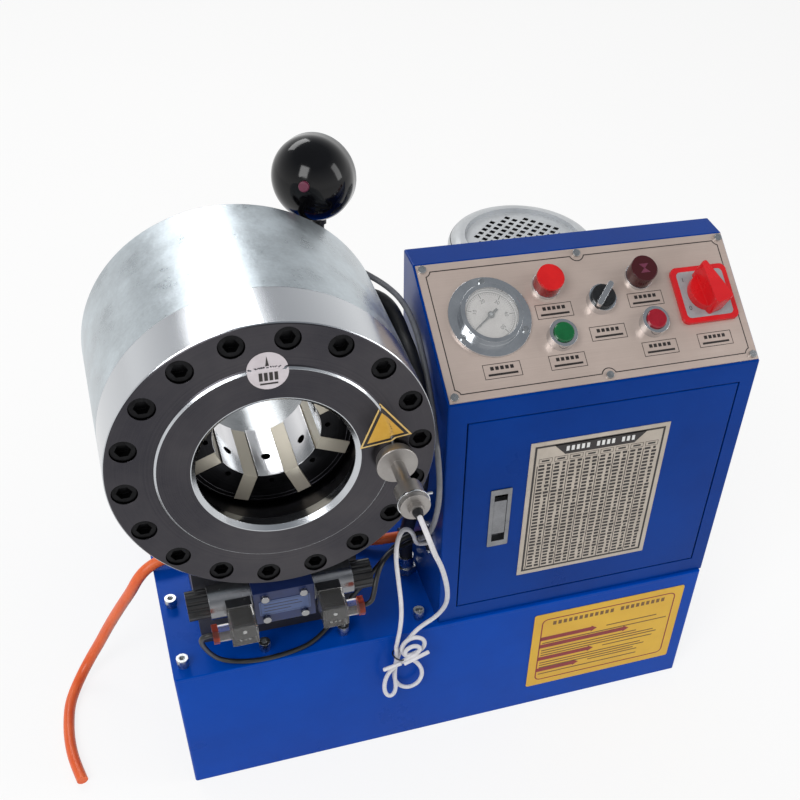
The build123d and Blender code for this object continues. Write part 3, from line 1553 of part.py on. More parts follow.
hank_x = 252.0
hank_z = lid_top - 58.0
hank_width = 54.0
hank_height = 94.0
hank_thickness = 20.0
with BuildPart() as cord_hank:
    with BuildSketch(front_plane(hank_x, -3, hank_z)):
        RectangleRounded(hank_width, hank_height, 24)
    extrude(amount=hank_thickness)
    fillet(cord_hank.edges().group_by(Axis.Y)[0], 6)
cord_hank.part.label = "cord_hank"
export_step(cord_hank.part, "parts/cord_hank.step")
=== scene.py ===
import random
from math import asin, atan2, cos, degrees, hypot, pi, radians, sin

import bpy
from mathutils import Matrix, Vector


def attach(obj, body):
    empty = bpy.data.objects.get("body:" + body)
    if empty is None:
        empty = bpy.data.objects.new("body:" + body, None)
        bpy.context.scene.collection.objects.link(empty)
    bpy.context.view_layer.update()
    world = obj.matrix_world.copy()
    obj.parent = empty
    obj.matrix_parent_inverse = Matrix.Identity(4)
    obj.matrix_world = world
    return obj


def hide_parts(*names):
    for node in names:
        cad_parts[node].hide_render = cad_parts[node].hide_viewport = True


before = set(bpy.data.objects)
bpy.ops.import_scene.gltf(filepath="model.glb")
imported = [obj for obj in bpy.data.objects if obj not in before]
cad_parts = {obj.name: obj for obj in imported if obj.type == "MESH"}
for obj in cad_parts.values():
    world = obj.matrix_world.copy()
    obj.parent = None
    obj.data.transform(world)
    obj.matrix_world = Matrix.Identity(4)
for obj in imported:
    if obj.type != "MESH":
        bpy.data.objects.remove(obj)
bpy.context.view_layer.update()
random.seed(11)

# Hose crimping machine.  Places are given in millimetres from the tank's front left foot:
# x to the right, y back, z up.  spot() turns them into metres in the machine's own frame.
MM = 0.001
TANK_WIDTH = 640.0
TANK_DEPTH = 500.0

# Crimping head: its axis, its face and radius, the step turned into that face, its mouth and its dies.
HEAD_X = 125.8
HEAD_Z = 501.2
HEAD_FACE = -42.3
HEAD_RADIUS = 146.7
FLANGE_STEP = 2.8
FLANGE_STEP_RADIUS = 105.6
MOUTH_EDGE_RADIUS = 75.6
DIE_BORE_RADIUS = 49.5
DIE_GAP = 14.6
DIE_COUNT = 8

# Control cabinet; its panel slopes up from the panel's foot, under a plate whose face is this far off it.
CABINET_LEFT = 299.0
CABINET_WIDTH = 344.0
CABINET_FRONT = 4.0
PANEL_FOOT = 501.0
PANEL_RUN = 128.0
PANEL_RISE = 79.0
PANEL_ANGLE = atan2(PANEL_RISE, PANEL_RUN)
PANEL_HEIGHT = hypot(PANEL_RUN, PANEL_RISE)
PLATE_FACE = 1.55

SEAT = 0.05  # gap under a plate or mark that lies on another surface
PRINT_LOW = 0.02  # underside and top of a printed mark over its plate
PRINT_HIGH = 0.1
PLATE_SKIN = 0.8  # thickness of the plates on the door and the tank


def spot(x, y, z):
    """A point in metres from its place in millimetres."""
    return Vector((x - TANK_WIDTH / 2, y - TANK_DEPTH / 2, z)) * MM


def shift(x, y, z):
    """A move by millimetres."""
    return Matrix.Translation(Vector((x, y, z)) * MM)


def spin(turn, axis="Z"):
    """A turn by degrees."""
    return Matrix.Rotation(radians(turn), 4, axis)


def upright(x, y, z):
    """Frame facing the operator: its x to the right, its y up, its z out towards the operator."""
    return Matrix.Translation(spot(x, y, z)) @ spin(90, "X")


def on_panel(u, v, height=0.0, turn=0.0):
    """Frame on the sloped panel: u from its left edge, v up the slope, height off its sheet."""
    corner = Matrix.Translation(spot(CABINET_LEFT, CABINET_FRONT, PANEL_FOOT))
    return corner @ Matrix.Rotation(PANEL_ANGLE, 4, "X") @ shift(u, v, height) @ spin(turn)


# ---- camera and light ----
CAMERA_PLACE = (-0.3020, -1.0655, 1.1544)
CAMERA_RIGHT = (0.93570, -0.34214, 0.08607)
CAMERA_DOWN = (-0.18926, -0.69268, -0.69597)
CAMERA_AHEAD = (0.29774, 0.63493, -0.71289)

camera = bpy.data.objects.new("camera", bpy.data.cameras.new("camera"))
camera.data.lens = 50.0
camera.data.shift_x = -0.156
camera.data.shift_y = 0.2246
axes = Matrix((CAMERA_RIGHT, -Vector(CAMERA_DOWN), -Vector(CAMERA_AHEAD))).transposed()
camera.matrix_world = Matrix.Translation(CAMERA_PLACE) @ axes.to_4x4()
bpy.context.scene.collection.objects.link(camera)
bpy.context.scene.camera = camera
bpy.context.scene.view_settings.view_transform = "Standard"


def softbox(name, place, aim, width, height, power):
    """A rectangular lamp with a diffuser, aimed at a point; metres and watts."""
    lamp = bpy.data.lights.new(name, "AREA")
    lamp.shape = "RECTANGLE"
    lamp.size = width
    lamp.size_y = height
    lamp.energy = power
    holder = bpy.data.objects.new(name, lamp)
    way = Vector(aim) - Vector(place)
    holder.matrix_world = Matrix.Translation(place) @ way.to_track_quat("-Z", "Y").to_matrix().to_4x4()
    bpy.context.scene.collection.objects.link(holder)


softbox("key_softbox", (-1.5, -1.6, 2.3), (0.0, 0.0, 0.35), 1.1, 1.4, 34.0)
softbox("side_softbox", (2.2, -0.9, 1.5), (0.0, 0.0, 0.35), 0.8, 1.6, 16.0)
softbox("rear_softbox", (-0.6, 2.0, 2.2), (0.0, 0.0, 0.4), 1.6, 0.8, 18.0)


# ---- finishes ----
def linear(colour):
    """Linear red, green, blue and alpha of an sRGB hex colour."""
    parts = [int(colour[i : i + 2], 16) / 255 for i in (1, 3, 5)]
    return [p / 12.92 if p <= 0.04045 else ((p + 0.055) / 1.055) ** 2.4 for p in parts] + [1.0]


def add(tree, kind, inputs=None, **settings):
    """Adds a shader node with its settings; each input is a value, or a socket to join to it."""
    node = tree.nodes.new("ShaderNode" + kind)
    for name, value in settings.items():
        setattr(node, name, value)
    for name, value in (inputs or {}).items():
        if isinstance(value, bpy.types.NodeSocket):
            tree.links.new(value, node.inputs[name])
        else:
            node.inputs[name].default_value = value
    return node


def within(tree, value, low, high):
    """Mask of the places where a value in metres lies between two limits in millimetres."""
    middle = {0: value, 1: (low + high) / 2 * MM, 2: (high - low) / 2 * MM}
    return add(tree, "Math", middle, operation="COMPARE").outputs[0]


def either(tree, first, second):
    """Mask of the places that one mask or the other covers."""
    return add(tree, "Math", {0: first, 1: second}, operation="MAXIMUM").outputs[0]


def both(tree, first, second):
    """Mask of the places that both masks cover."""
    return add(tree, "Math", {0: first, 1: second}, operation="MINIMUM").outputs[0]


def from_centre(tree, place, centre, axes):
    """Distance from a centre and the offset from it, in metres, counted along the axes marked 1."""
    offset = add(tree, "VectorMath", {0: place, 1: tuple(centre)}, operation="SUBTRACT").outputs[0]
    across = add(tree, "VectorMath", {0: offset, 1: axes}, operation="MULTIPLY").outputs[0]
    return add(tree, "VectorMath", {0: across}, operation="LENGTH").outputs["Value"], across


def from_head_axis(tree, place):
    """Distance from the crimping head's axis, and the offset from it."""
    return from_centre(tree, place, spot(HEAD_X, 0, HEAD_Z), (1, 0, 1))


def along_way(tree, place, foot, way):
    """The offset from a foot, and how far it reaches along a way, in metres."""
    offset = add(tree, "VectorMath", {0: place, 1: tuple(foot)}, operation="SUBTRACT").outputs[0]
    reach = add(tree, "VectorMath", {0: offset, 1: tuple(way)}, operation="DOT_PRODUCT").outputs["Value"]
    return offset, reach


def over_panel(tree, place):
    """Height over the sloped panel's sheet, in metres."""
    corner = on_panel(0, 0)
    return along_way(tree, place, corner.translation, corner.to_3x3() @ Vector((0, 0, 1)))[1]


def grains(size):
    """Relief of round grains, their size in millimetres."""

    def relief(tree, place):
        return add(tree, "TexNoise", {"Vector": place, "Scale": 1000 / size, "Detail": 3.0}).outputs[0]

    return relief


def brushed(tree, place):
    """Relief of straight brush lines from left to right, 0.7 mm apart and 60 mm long."""
    drawn = add(tree, "VectorMath", {0: place, 1: (0.012, 1.0, 1.0)}, operation="MULTIPLY").outputs[0]
    return add(tree, "TexNoise", {"Vector": drawn, "Scale": 1400.0, "Detail": 2.0}).outputs[0]


def turned(tree, place):
    """Relief of lathe lines round the head's axis, drawn 1.6 mm apart so that they show."""
    radius = from_head_axis(tree, place)[0]
    depth = add(tree, "SeparateXYZ", {0: place}).outputs[1]
    along = add(tree, "Math", {0: radius, 1: depth}, operation="ADD").outputs[0]
    lines = add(tree, "TexNoise", {"W": along, "Scale": 620.0, "Detail": 3.0}, noise_dimensions="1D")
    return lines.outputs[0]


def finish(
    name,
    tones,
    rough,
    metal=0.0,
    mottle=60.0,
    relief=grains(1.5),
    depth=0.0,
    soften=0.5,
    speckle=0.25,
    zones=None,
    **shader,
):
    """A material whose tone and gloss drift over patches, with a fine relief and softened edges.

    tones: its darker and lighter colour; rough: its lowest and highest roughness;
    mottle: size of the patches, depth: height of the relief, soften: radius of the edges, in millimetres;
    speckle: how much the fine relief shows in the tone;
    zones: other finishes that cover places of it, each a mask, a colour, a roughness and a metallic value."""
    made = bpy.data.materials.new(name)
    made.use_nodes = True
    tree = made.node_tree
    tree.nodes.clear()
    place = add(tree, "TexCoord").outputs["Object"]
    cloud = {"Vector": place, "Scale": 1000 / mottle, "Detail": 5.0, "Roughness": 0.6}
    patches = add(tree, "TexNoise", cloud).outputs[0]
    fine = relief(tree, place)
    mixed = add(tree, "Math", {0: fine, 1: speckle, 2: patches}, operation="MULTIPLY_ADD").outputs[0]
    middle = 0.5 + 0.5 * speckle
    spread = {"Value": mixed, "From Min": middle - 0.2, "From Max": middle + 0.2}
    drift = add(tree, "MapRange", spread).outputs[0]
    between = {0: drift, 6: linear(tones[0]), 7: linear(tones[1])}
    colour = add(tree, "Mix", between, data_type="RGBA").outputs[2]
    gloss = add(tree, "Mix", {0: drift, 2: rough[0], 3: rough[1]}).outputs[0]
    sockets = {"Base Color": colour, "Roughness": gloss, "Metallic": metal}
    for mask, tone, zone_rough, zone_metal in zones(tree, place) if zones else []:
        covered = {0: mask, 6: sockets["Base Color"], 7: linear(tone)}
        sockets["Base Color"] = add(tree, "Mix", covered, data_type="RGBA").outputs[2]
        for socket, value in (("Roughness", zone_rough), ("Metallic", zone_metal)):
            sockets[socket] = add(tree, "Mix", {0: mask, 2: sockets[socket], 3: value}).outputs[0]
    edges = add(tree, "Bevel", {"Radius": soften * MM}, samples=4).outputs[0]
    bump = {"Height": fine, "Distance": depth * MM, "Strength": 1.0, "Normal": edges}
    sockets["Normal"] = add(tree, "Bump", bump).outputs[0] if depth else edges
    body = add(tree, "BsdfPrincipled", {**sockets, **shader})
    add(tree, "OutputMaterial", {"Surface": body.outputs[0]})
    return made


# Where a piece changes its finish; in millimetres, apart from the way.
FAR = 9000.0  # beyond every piece
SCRIBED_RINGS = (74.3, 78.3)  # inner radius of each ring on the dies' faces
# Below this height, the pilot lamp's side is painted darker than its top: painted shade.
LAMP_SIDE = 19.0  # height of the lamps' sides over the panel
BUZZER_LEFT = 162.0  # the buzzer is right of this, from the tank's middle
SELECTOR_TOP = 16.0  # top of the selector's knob over the panel, below its lever
GLAND_NUT = 72.9  # from the valve's middle to the nut on a plug's gland
MOTOR_AXIS = (495.0, 325.0)
# Inside this radius and below the grille's face, the cowl is painted near black: painted shade.
COWL_INNER_RADIUS = 88.5
COWL_INSIDE = 478.6  # just under the face of the cowl's grille
BUSH = (50.0, 286.0)  # the cords' bush in the cabinet's wall
BUSH_RING = (15.8, 19.0)  # inner and outer radius of its chrome ring
SHADE_CENTRE = spot(224.5, 230.0, 629.0)  # of the dome of the lamp's shade
SHADE_WAY = Vector((-0.390, -0.884, 0.257)).normalized()  # from there to the dome's top
SHADE_RADIUS = 40.6
SHADE_SKIRT = 15.0  # length of the shade's straight part


def flange_zones(tree, place):
    """Bright turned rim and bright edge and cone of the mouth, and a painted highlight: the bright band at
    the step's chamfer; the face between them is dark.
    """
    radius = from_head_axis(tree, place)[0]
    rim = within(tree, radius, HEAD_RADIUS - 0.7, FAR)
    mouth = within(tree, radius, 0.0, MOUTH_EDGE_RADIUS)
    # The step's chamfer is painted bright: painted highlight.
    step = within(tree, radius, FLANGE_STEP_RADIUS - 1.6, FLANGE_STEP_RADIUS + 0.15)
    return [(either(tree, rim, either(tree, mouth, step)), "#c3c6ca", 0.17, 1.0)]


def die_zones(tree, place):
    """Pale spacer bars between the black dies, ground bores, and two scribed rings on the dies' faces."""
    radius, across = from_head_axis(tree, place)
    split = add(tree, "SeparateXYZ", {0: across})
    angle = add(tree, "Math", {0: split.outputs[2], 1: split.outputs[0]}, operation="ARCTAN2").outputs[0]
    share = add(tree, "Math", {0: angle, 1: DIE_COUNT / (2 * pi)}, operation="MULTIPLY").outputs[0]
    part = add(tree, "Math", {0: share}, operation="FRACT").outputs[0]
    off = add(tree, "Math", {0: part, 1: 0.5}, operation="SUBTRACT").outputs[0]
    turn = add(tree, "Math", {0: off, 1: 2 * pi / DIE_COUNT}, operation="MULTIPLY").outputs[0]
    sine = add(tree, "Math", {0: turn}, operation="SINE").outputs[0]
    beside = add(tree, "Math", {0: sine, 1: radius}, operation="MULTIPLY").outputs[0]
    between = within(tree, beside, -DIE_GAP / 2, DIE_GAP / 2)
    spacer = both(tree, between, within(tree, radius, DIE_BORE_RADIUS + 0.7, FAR))
    bore = within(tree, radius, 0.0, DIE_BORE_RADIUS + 0.3)
    inner, outer = [within(tree, radius, ring, ring + 0.6) for ring in SCRIBED_RINGS]
    rings = either(tree, inner, outer)
    return [(rings, "#b9babd", 0.25, 1.0), (bore, "#dcdcde", 0.16, 1.0), (spacer, "#c9c2b2", 0.38, 0.5)]


def lamp_zones(tree, place):
    """The pilot lamp is bright red, its side painted darker as shade under its lit top; the buzzer to its
    right is maroon.
    """
    side = within(tree, over_panel(tree, place), 0.0, LAMP_SIDE)
    buzzer = within(tree, add(tree, "SeparateXYZ", {0: place}).outputs[0], BUZZER_LEFT, FAR)
    return [(side, "#8a0d14", 0.1, 0.0), (buzzer, "#3f0c12", 0.16, 0.0)]


def selector_zones(tree, place):
    """Silver lever on the black knob."""
    return [(within(tree, over_panel(tree, place), SELECTOR_TOP, FAR), "#c8c9cb", 0.25, 1.0)]


def valve_zones(tree, place):
    """Zinc-plated screw heads stand proud of the valve's face."""
    depth = add(tree, "SeparateXYZ", {0: place}).outputs[1]
    return [(within(tree, depth, -FAR, -TANK_DEPTH / 2 - 0.6), "#98989a", 0.25, 1.0)]


def plug_zones(tree, place):
    """Orange nut at the end of each plug's cable gland."""
    beside = from_centre(tree, place, spot(HEAD_X, 0, 0), (1, 0, 0))[0]
    return [(within(tree, beside, GLAND_NUT, FAR), "#e2502a", 0.35, 0.0)]


def cowl_zones(tree, place):
    """Painted shade: the fan cowl is painted near black inside, so its grille reads black."""
    radius = from_centre(tree, place, spot(*MOTOR_AXIS, 0.0), (1, 1, 0))[0]
    below = within(tree, add(tree, "SeparateXYZ", {0: place}).outputs[2], 0.0, COWL_INSIDE)
    return [(both(tree, below, within(tree, radius, 0.0, COWL_INNER_RADIUS)), "#141516", 0.6, 0.0)]


def gland_zones(tree, place):
    """Chrome ring round the bush."""
    radius = from_centre(tree, place, spot(0, *BUSH), (0, 1, 1))[0]
    beside = add(tree, "SeparateXYZ", {0: place}).outputs[0]
    outside = within(tree, beside, -FAR, CABINET_LEFT - TANK_WIDTH / 2 + 0.1)
    return [(both(tree, within(tree, radius, *BUSH_RING), outside), "#c9cacc", 0.15, 1.0)]


def shade_zones(tree, place):
    """White inside of the lamp's shade, and a painted reflection: the grey band round its open end."""
    offset, along = along_way(tree, place, SHADE_CENTRE, SHADE_WAY)
    behind = add(tree, "Math", {0: along, 1: 0.0}, operation="MINIMUM").outputs[0]
    down = add(tree, "VectorMath", {0: tuple(SHADE_WAY), "Scale": behind}, operation="SCALE").outputs[0]
    across = add(tree, "VectorMath", {0: offset, 1: down}, operation="SUBTRACT").outputs[0]
    radius = add(tree, "VectorMath", {0: across}, operation="LENGTH").outputs["Value"]
    inside = within(tree, radius, 0.0, SHADE_RADIUS - 0.8)
    open_end = within(tree, along, -SHADE_SKIRT - 0.5, 4.0 - SHADE_SKIRT)
    rim_reflection = both(tree, open_end, within(tree, radius, SHADE_RADIUS - 0.8, SHADE_RADIUS + 0.4))
    return [(rim_reflection, "#5e6064", 0.3, 0.6), (inside, "#e6e6e2", 0.45, 0.0)]


# Alkyd enamel sprayed on steel sheet: deep even blue, soft gloss, a faint orange peel.
blue_enamel = finish(
    "blue_enamel",
    ("#003d9c", "#0046ac"),
    (0.26, 0.36),
    mottle=110,
    relief=grains(2.2),
    depth=0.01,
    speckle=0.05,
    **{"Specular IOR Level": 0.22, "Specular Tint": linear("#4f8cff")},
)
# Painted shade: the tank's blue enamel again on the folded cabinet, a little duller, its tones darker to
# stand in for the shade on the cabinet's faces.
cabinet_shaded_enamel = finish(
    "cabinet_shaded_enamel",
    ("#002f7c", "#00388c"),
    (0.26, 0.38),
    mottle=140,
    relief=grains(2.0),
    depth=0.01,
    speckle=0.05,
    **{"Specular IOR Level": 0.25, "Specular Tint": linear("#4f8cff")},
)
# Black machinery paint, rolled on plate: near black, satin, dusty.
black_machine_paint = finish(
    "black_machine_paint", ("#29292c", "#3a3a3e"), (0.34, 0.5), mottle=45, relief=grains(2.5), depth=0.03
)
# Blackened, turned steel: dark face with lathe lines and bright rim and mouth; a painted highlight rings the
# step.
turned_flange_steel = finish(
    "turned_flange_steel",
    ("#3c3b40", "#4d4b4e"),
    (0.26, 0.36),
    metal=1.0,
    mottle=90,
    relief=turned,
    depth=0.006,
    soften=0.8,
    zones=flange_zones,
    Anisotropic=0.35,
)
# Rolled steel tube under silver lacquer: bright with a coarse, cloudy mottle.
mottled_silver_steel = finish(
    "mottled_silver_steel",
    ("#a3abb0", "#ccd5da"),
    (0.24, 0.4),
    metal=1.0,
    mottle=36,
    relief=grains(3.2),
    depth=0.11,
    soften=1.0,
)
# Black oxide on screws: dark and oily.
black_oxide = finish("black_oxide", ("#121213", "#222224"), (0.3, 0.45), metal=0.9, mottle=12, soften=0.6)
# Bright zinc plating: pale, slightly blue-grey metal.
zinc_plating = finish("zinc_plating", ("#a9abac", "#c6c8c9"), (0.2, 0.34), metal=1.0, mottle=14, soften=0.5)
# Black-oxide tool steel with ground bores and pale spacer bars.
die_steel = finish(
    "die_steel",
    ("#141416", "#262628"),
    (0.3, 0.42),
    metal=0.85,
    mottle=18,
    relief=turned,
    depth=0.004,
    zones=die_zones,
)
# Ground piston steel: grey, with fine rings.
ground_steel = finish(
    "ground_steel", ("#8f9294", "#abaeb0"), (0.2, 0.3), metal=1.0, relief=turned, depth=0.01
)
# Satin nickel plating on turned steel: warm grey, half dull.
satin_nickel = finish("satin_nickel", ("#96928f", "#aba7a3"), (0.36, 0.46), metal=0.9, mottle=30, speckle=0.1)
# Cast iron under navy enamel: the castings' grain shows through.
navy_casting = finish(
    "navy_casting",
    ("#101f4c", "#172a5c"),
    (0.3, 0.42),
    mottle=20,
    relief=grains(1.6),
    depth=0.05,
    soften=1.2,
    zones=valve_zones,
)
# Galvanised coil shell: dull zinc.
coil_zinc = finish(
    "coil_zinc", ("#7b7c7f", "#929396"), (0.2, 0.28), metal=1.0, mottle=25, soften=0.8, speckle=0.05
)
# Moulded black nylon: half dull, a fine grain; the gland's bush has a chrome ring.
black_nylon = finish(
    "black_nylon", ("#0e0e0f", "#18181a"), (0.28, 0.4), mottle=10, relief=grains(0.8), depth=0.01
)
black_nylon_gland = finish(
    "black_nylon_gland", ("#131314", "#1d1d1f"), (0.4, 0.5), mottle=10, zones=gland_zones
)
# Clear polycarbonate of the valve's plugs: glossy and see-through, smoky over its dark core.
smoky_polycarbonate = finish(
    "smoky_polycarbonate",
    ("#eceae8", "#f4f3f1"),
    (0.02, 0.05),
    mottle=12,
    soften=0.9,
    zones=plug_zones,
    **{"Transmission Weight": 0.95, "IOR": 1.4},
)
# Anodised aluminium sheet, brushed from side to side: warm beige-grey.
brushed_plate = finish(
    "brushed_plate",
    ("#baa99f", "#cebdb3"),
    (0.3, 0.4),
    metal=0.35,
    mottle=150,
    relief=brushed,
    depth=0.004,
    soften=0.3,
)
# Printed aluminium plate: pale grey, matte lacquer.
printed_aluminium = finish(
    "printed_aluminium", ("#aea498", "#bfb5a9"), (0.35, 0.5), metal=0.2, mottle=30, soften=0.2
)
# Blue lacquer on the valve's aluminium nameplate: some metal shows through.
nameplate_blue = finish(
    "nameplate_blue", ("#46557c", "#54648c"), (0.3, 0.4), metal=0.4, mottle=20, soften=0.1
)
# Yellow film on the instruction plate: even, half dull.
yellow_film = finish(
    "yellow_film", ("#d3a326", "#dfb231"), (0.35, 0.45), mottle=60, soften=0.2, speckle=0.05
)
# Chrome plating: mirror-like.
chrome = finish("chrome", ("#c4c6c9", "#dcdee0"), (0.08, 0.16), metal=1.0, mottle=25, soften=0.5)
# Brushed stainless pressing of the latch: grey, half dull.
satin_steel = finish("satin_steel", ("#77787b", "#8d8e91"), (0.26, 0.36), metal=1.0, mottle=18, soften=0.8)
# Moulded and polished ABS: saturated and glossy on the caps, duller on the switch.
green_abs = finish("green_abs", ("#04552c", "#076636"), (0.14, 0.22), mottle=8, soften=0.6)
red_abs = finish("red_abs", ("#8b0a1f", "#9c1026"), (0.14, 0.22), mottle=8, soften=0.6)
switch_red = finish(
    "switch_red", ("#c8101a", "#d8191e"), (0.2, 0.3), mottle=40, soften=1.2, speckle=0.05
)
grey_abs = finish("grey_abs", ("#8f9194", "#a2a4a7"), (0.35, 0.45), mottle=12, soften=0.3)
black_knob = finish(
    "black_knob", ("#151516", "#202022"), (0.25, 0.35), mottle=8, soften=0.6, zones=selector_zones
)
# Polished acrylic lenses: deep red, the glossiest pieces of the panel.
lens_red = finish(
    "lens_red",
    ("#c40f14", "#d41a1a"),
    (0.06, 0.1),
    mottle=20,
    soften=1.6,
    speckle=0.05,
    zones=lamp_zones,
)
# Grey powder coat on the motor and its cowl: slightly grainy.
motor_grey = finish(
    "motor_grey",
    ("#b3b6b8", "#c8cbcd"),
    (0.34, 0.46),
    metal=0.25,
    mottle=35,
    relief=grains(1.4),
    depth=0.02,
    soften=0.8,
)
# Its inside is painted near black: painted shade behind the grille.
fan_cowl_grey = finish(
    "fan_cowl_grey",
    ("#b9bcbe", "#cccfd1"),
    (0.34, 0.46),
    metal=0.2,
    mottle=35,
    relief=grains(1.4),
    depth=0.02,
    zones=cowl_zones,
)
# Plain mild steel: dull.
mild_steel = finish("mild_steel", ("#5f6163", "#7b7d7f"), (0.35, 0.5), metal=1.0, mottle=20)
# Stoved black enamel on spun steel, white inside; the grey band round its open end is a painted reflection.
black_stove_enamel = finish(
    "black_stove_enamel",
    ("#040406", "#09090c"),
    (0.08, 0.14),
    mottle=25,
    speckle=0.05,
    zones=shade_zones,
    **{"Specular IOR Level": 0.3},
)
# Lacquered gooseneck, and the moulded rubber of the lamp's push switch.
lamp_arm_black = finish("lamp_arm_black", ("#161617", "#232325"), (0.3, 0.4), metal=0.3, mottle=12)
pink_rubber = finish("pink_rubber", ("#5e2038", "#6e2a44"), (0.4, 0.5), mottle=5, soften=0.5)
# Sheaths: vulcanised rubber for the hose, soft PVC for the cords.
hose_rubber = finish(
    "hose_rubber", ("#141415", "#222224"), (0.4, 0.55), mottle=12, relief=grains(1.2), depth=0.03
)
white_pvc = finish(
    "white_pvc", ("#cdccd0", "#e2e1e4"), (0.35, 0.48), mottle=14, relief=grains(1.5), depth=0.02
)
grey_pvc = finish("grey_pvc", ("#6a6b6f", "#7e7f83"), (0.35, 0.45), mottle=14)
black_pvc = finish("black_pvc", ("#101011", "#1c1c1e"), (0.3, 0.42), mottle=14)
orange_pvc = finish(
    "orange_pvc", ("#e45a24", "#f07036"), (0.3, 0.42), mottle=30, relief=grains(2.0), depth=0.02
)
# Screen-printed ink and vinyl films: thin, even, half dull.
black_print = finish("black_print", ("#1c1716", "#27201e"), (0.4, 0.5), mottle=20, soften=0.1)
brown_print = finish("brown_print", ("#6a4a1c", "#785524"), (0.4, 0.5), mottle=20, soften=0.1)
white_print = finish("white_print", ("#d8d8d6", "#e4e4e2"), (0.4, 0.5), mottle=20, soften=0.1)
maroon_print = finish("maroon_print", ("#7f1c22", "#8f272b"), (0.4, 0.5), mottle=20, soften=0.1)
white_film = finish("white_film", ("#c6bec2", "#d3ccd0"), (0.3, 0.4), mottle=15, soften=0.1)
pale_amber_film = finish("pale_amber_film", ("#d8b469", "#e2c17a"), (0.3, 0.4), mottle=15, soften=0.1)
amber_film = finish("amber_film", ("#cd9c38", "#d8aa48"), (0.3, 0.4), mottle=15, soften=0.1)
dial_enamel = finish("dial_enamel", ("#aca6a3", "#c0bbb8"), (0.4, 0.5), mottle=25, soften=0.1)
# Float glass over the gauge's dial: almost all of the light goes through.
gauge_glass = finish(
    "gauge_glass", ("#f2f6f6", "#f8fafa"), (0.02, 0.04), mottle=40, soften=0.1, Alpha=0.14
)
# Painted studio floor: matte and nearly white.
studio_floor = finish("studio_floor", ("#f2f2f1", "#f5f5f4"), (0.7, 0.8), mottle=900, soften=0.1)


def seen_rays(tree):
    """Mask of the rays that show a thing straight, in a mirror or through glass."""
    rays = add(tree, "LightPath").outputs
    mirrored = either(tree, rays["Is Glossy Ray"], rays["Is Transmission Ray"])
    return either(tree, rays["Is Camera Ray"], mirrored)


def whiten_floor():
    """Seen straight or in a mirror, the floor is nearly white and keeps the machine's shadow."""
    tree = studio_floor.node_tree
    share = add(tree, "Math", {0: seen_rays(tree), 1: 0.82}, operation="MULTIPLY").outputs[0]
    output = next(node for node in tree.nodes if node.bl_idname == "ShaderNodeOutputMaterial")
    lit = output.inputs[0].links[0].from_socket
    white = add(tree, "Emission", {"Color": linear("#ffffff"), "Strength": 1.0}).outputs[0]
    mixed = add(tree, "MixShader", {0: share, 1: lit, 2: white}).outputs[0]
    tree.links.new(mixed, output.inputs[0])


whiten_floor()

node_finishes = [
    (blue_enamel, "tank_shell tank_lid"),
    (zinc_plating, "lid_screws drain_plug plate_screws hose_fittings"),
    # Black nylon on the motor's fan is partly painted shade: it keeps the cowl's grille dark.
    (black_nylon, "filler_cap coil_knobs gauge_needle contactors motor_rotor"),
    (black_machine_paint, "head_pedestal"),
    (turned_flange_steel, "front_flange"),
    (mottled_silver_steel, "barrel"),
    (black_oxide, "flange_screws"),
    (ground_steel, "piston"),
    (satin_nickel, "limit_switch adjuster_dial"),
    (navy_casting, "valve_body"),
    (coil_zinc, "valve_coils"),
    (smoky_polycarbonate, "valve_plugs"),
    # The cabinet takes the darker copy of the tank's blue: painted shade.
    (cabinet_shaded_enamel, "cabinet_shell cabinet_door"),
    (mild_steel, "door_hinges pump"),
    (satin_steel, "latch_plate latch_lever"),
    (printed_aluminium, "size_plate"),
    (yellow_film, "instruction_plate"),
    (brushed_plate, "control_plate"),
    (chrome, "gauge_case button_bezels"),
    (green_abs, "green_button"),
    (red_abs, "red_button"),
    (lens_red, "signal_lamps"),
    (black_knob, "selector_knob"),
    (switch_red, "switch_plate switch_handle"),
    (motor_grey, "motor_body"),
    (fan_cowl_grey, "fan_cowl"),
    (black_stove_enamel, "lamp_shade"),
    (pink_rubber, "lamp_switch"),
    (lamp_arm_black, "lamp_arm"),
    (black_nylon_gland, "cable_glands"),
]
dies = " ".join(f"master_die_{number + 1}" for number in range(DIE_COUNT))
for material, nodes in node_finishes + [(die_steel, dies)]:
    for node in nodes.split():
        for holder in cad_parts[node].material_slots:
            holder.material = material


# ---- floor and daylight ----
def show_world():
    """Pale surroundings, whiter near the floor; what lights the object is plain and even."""
    world = bpy.data.worlds.new("studio")
    bpy.context.scene.world = world
    world.use_nodes = True
    tree = world.node_tree
    tree.nodes.clear()
    height = add(tree, "SeparateXYZ", {0: add(tree, "TexCoord").outputs["Generated"]}).outputs[2]
    rise = add(tree, "MapRange", {"Value": height, "From Min": 0.05, "From Max": 0.75}).outputs[0]
    shades = {0: rise, 6: linear("#ffffff"), 7: linear("#8d9196")}
    sky = add(tree, "Mix", shades, data_type="RGBA").outputs[2]
    shown = add(tree, "Background", {"Color": sky, "Strength": 1.0}).outputs[0]
    light = add(tree, "Background", {"Color": linear("#ffffff"), "Strength": 0.52}).outputs[0]
    mixed = add(tree, "MixShader", {0: seen_rays(tree), 1: light, 2: shown}).outputs[0]
    add(tree, "OutputWorld", {"Surface": mixed})


show_world()


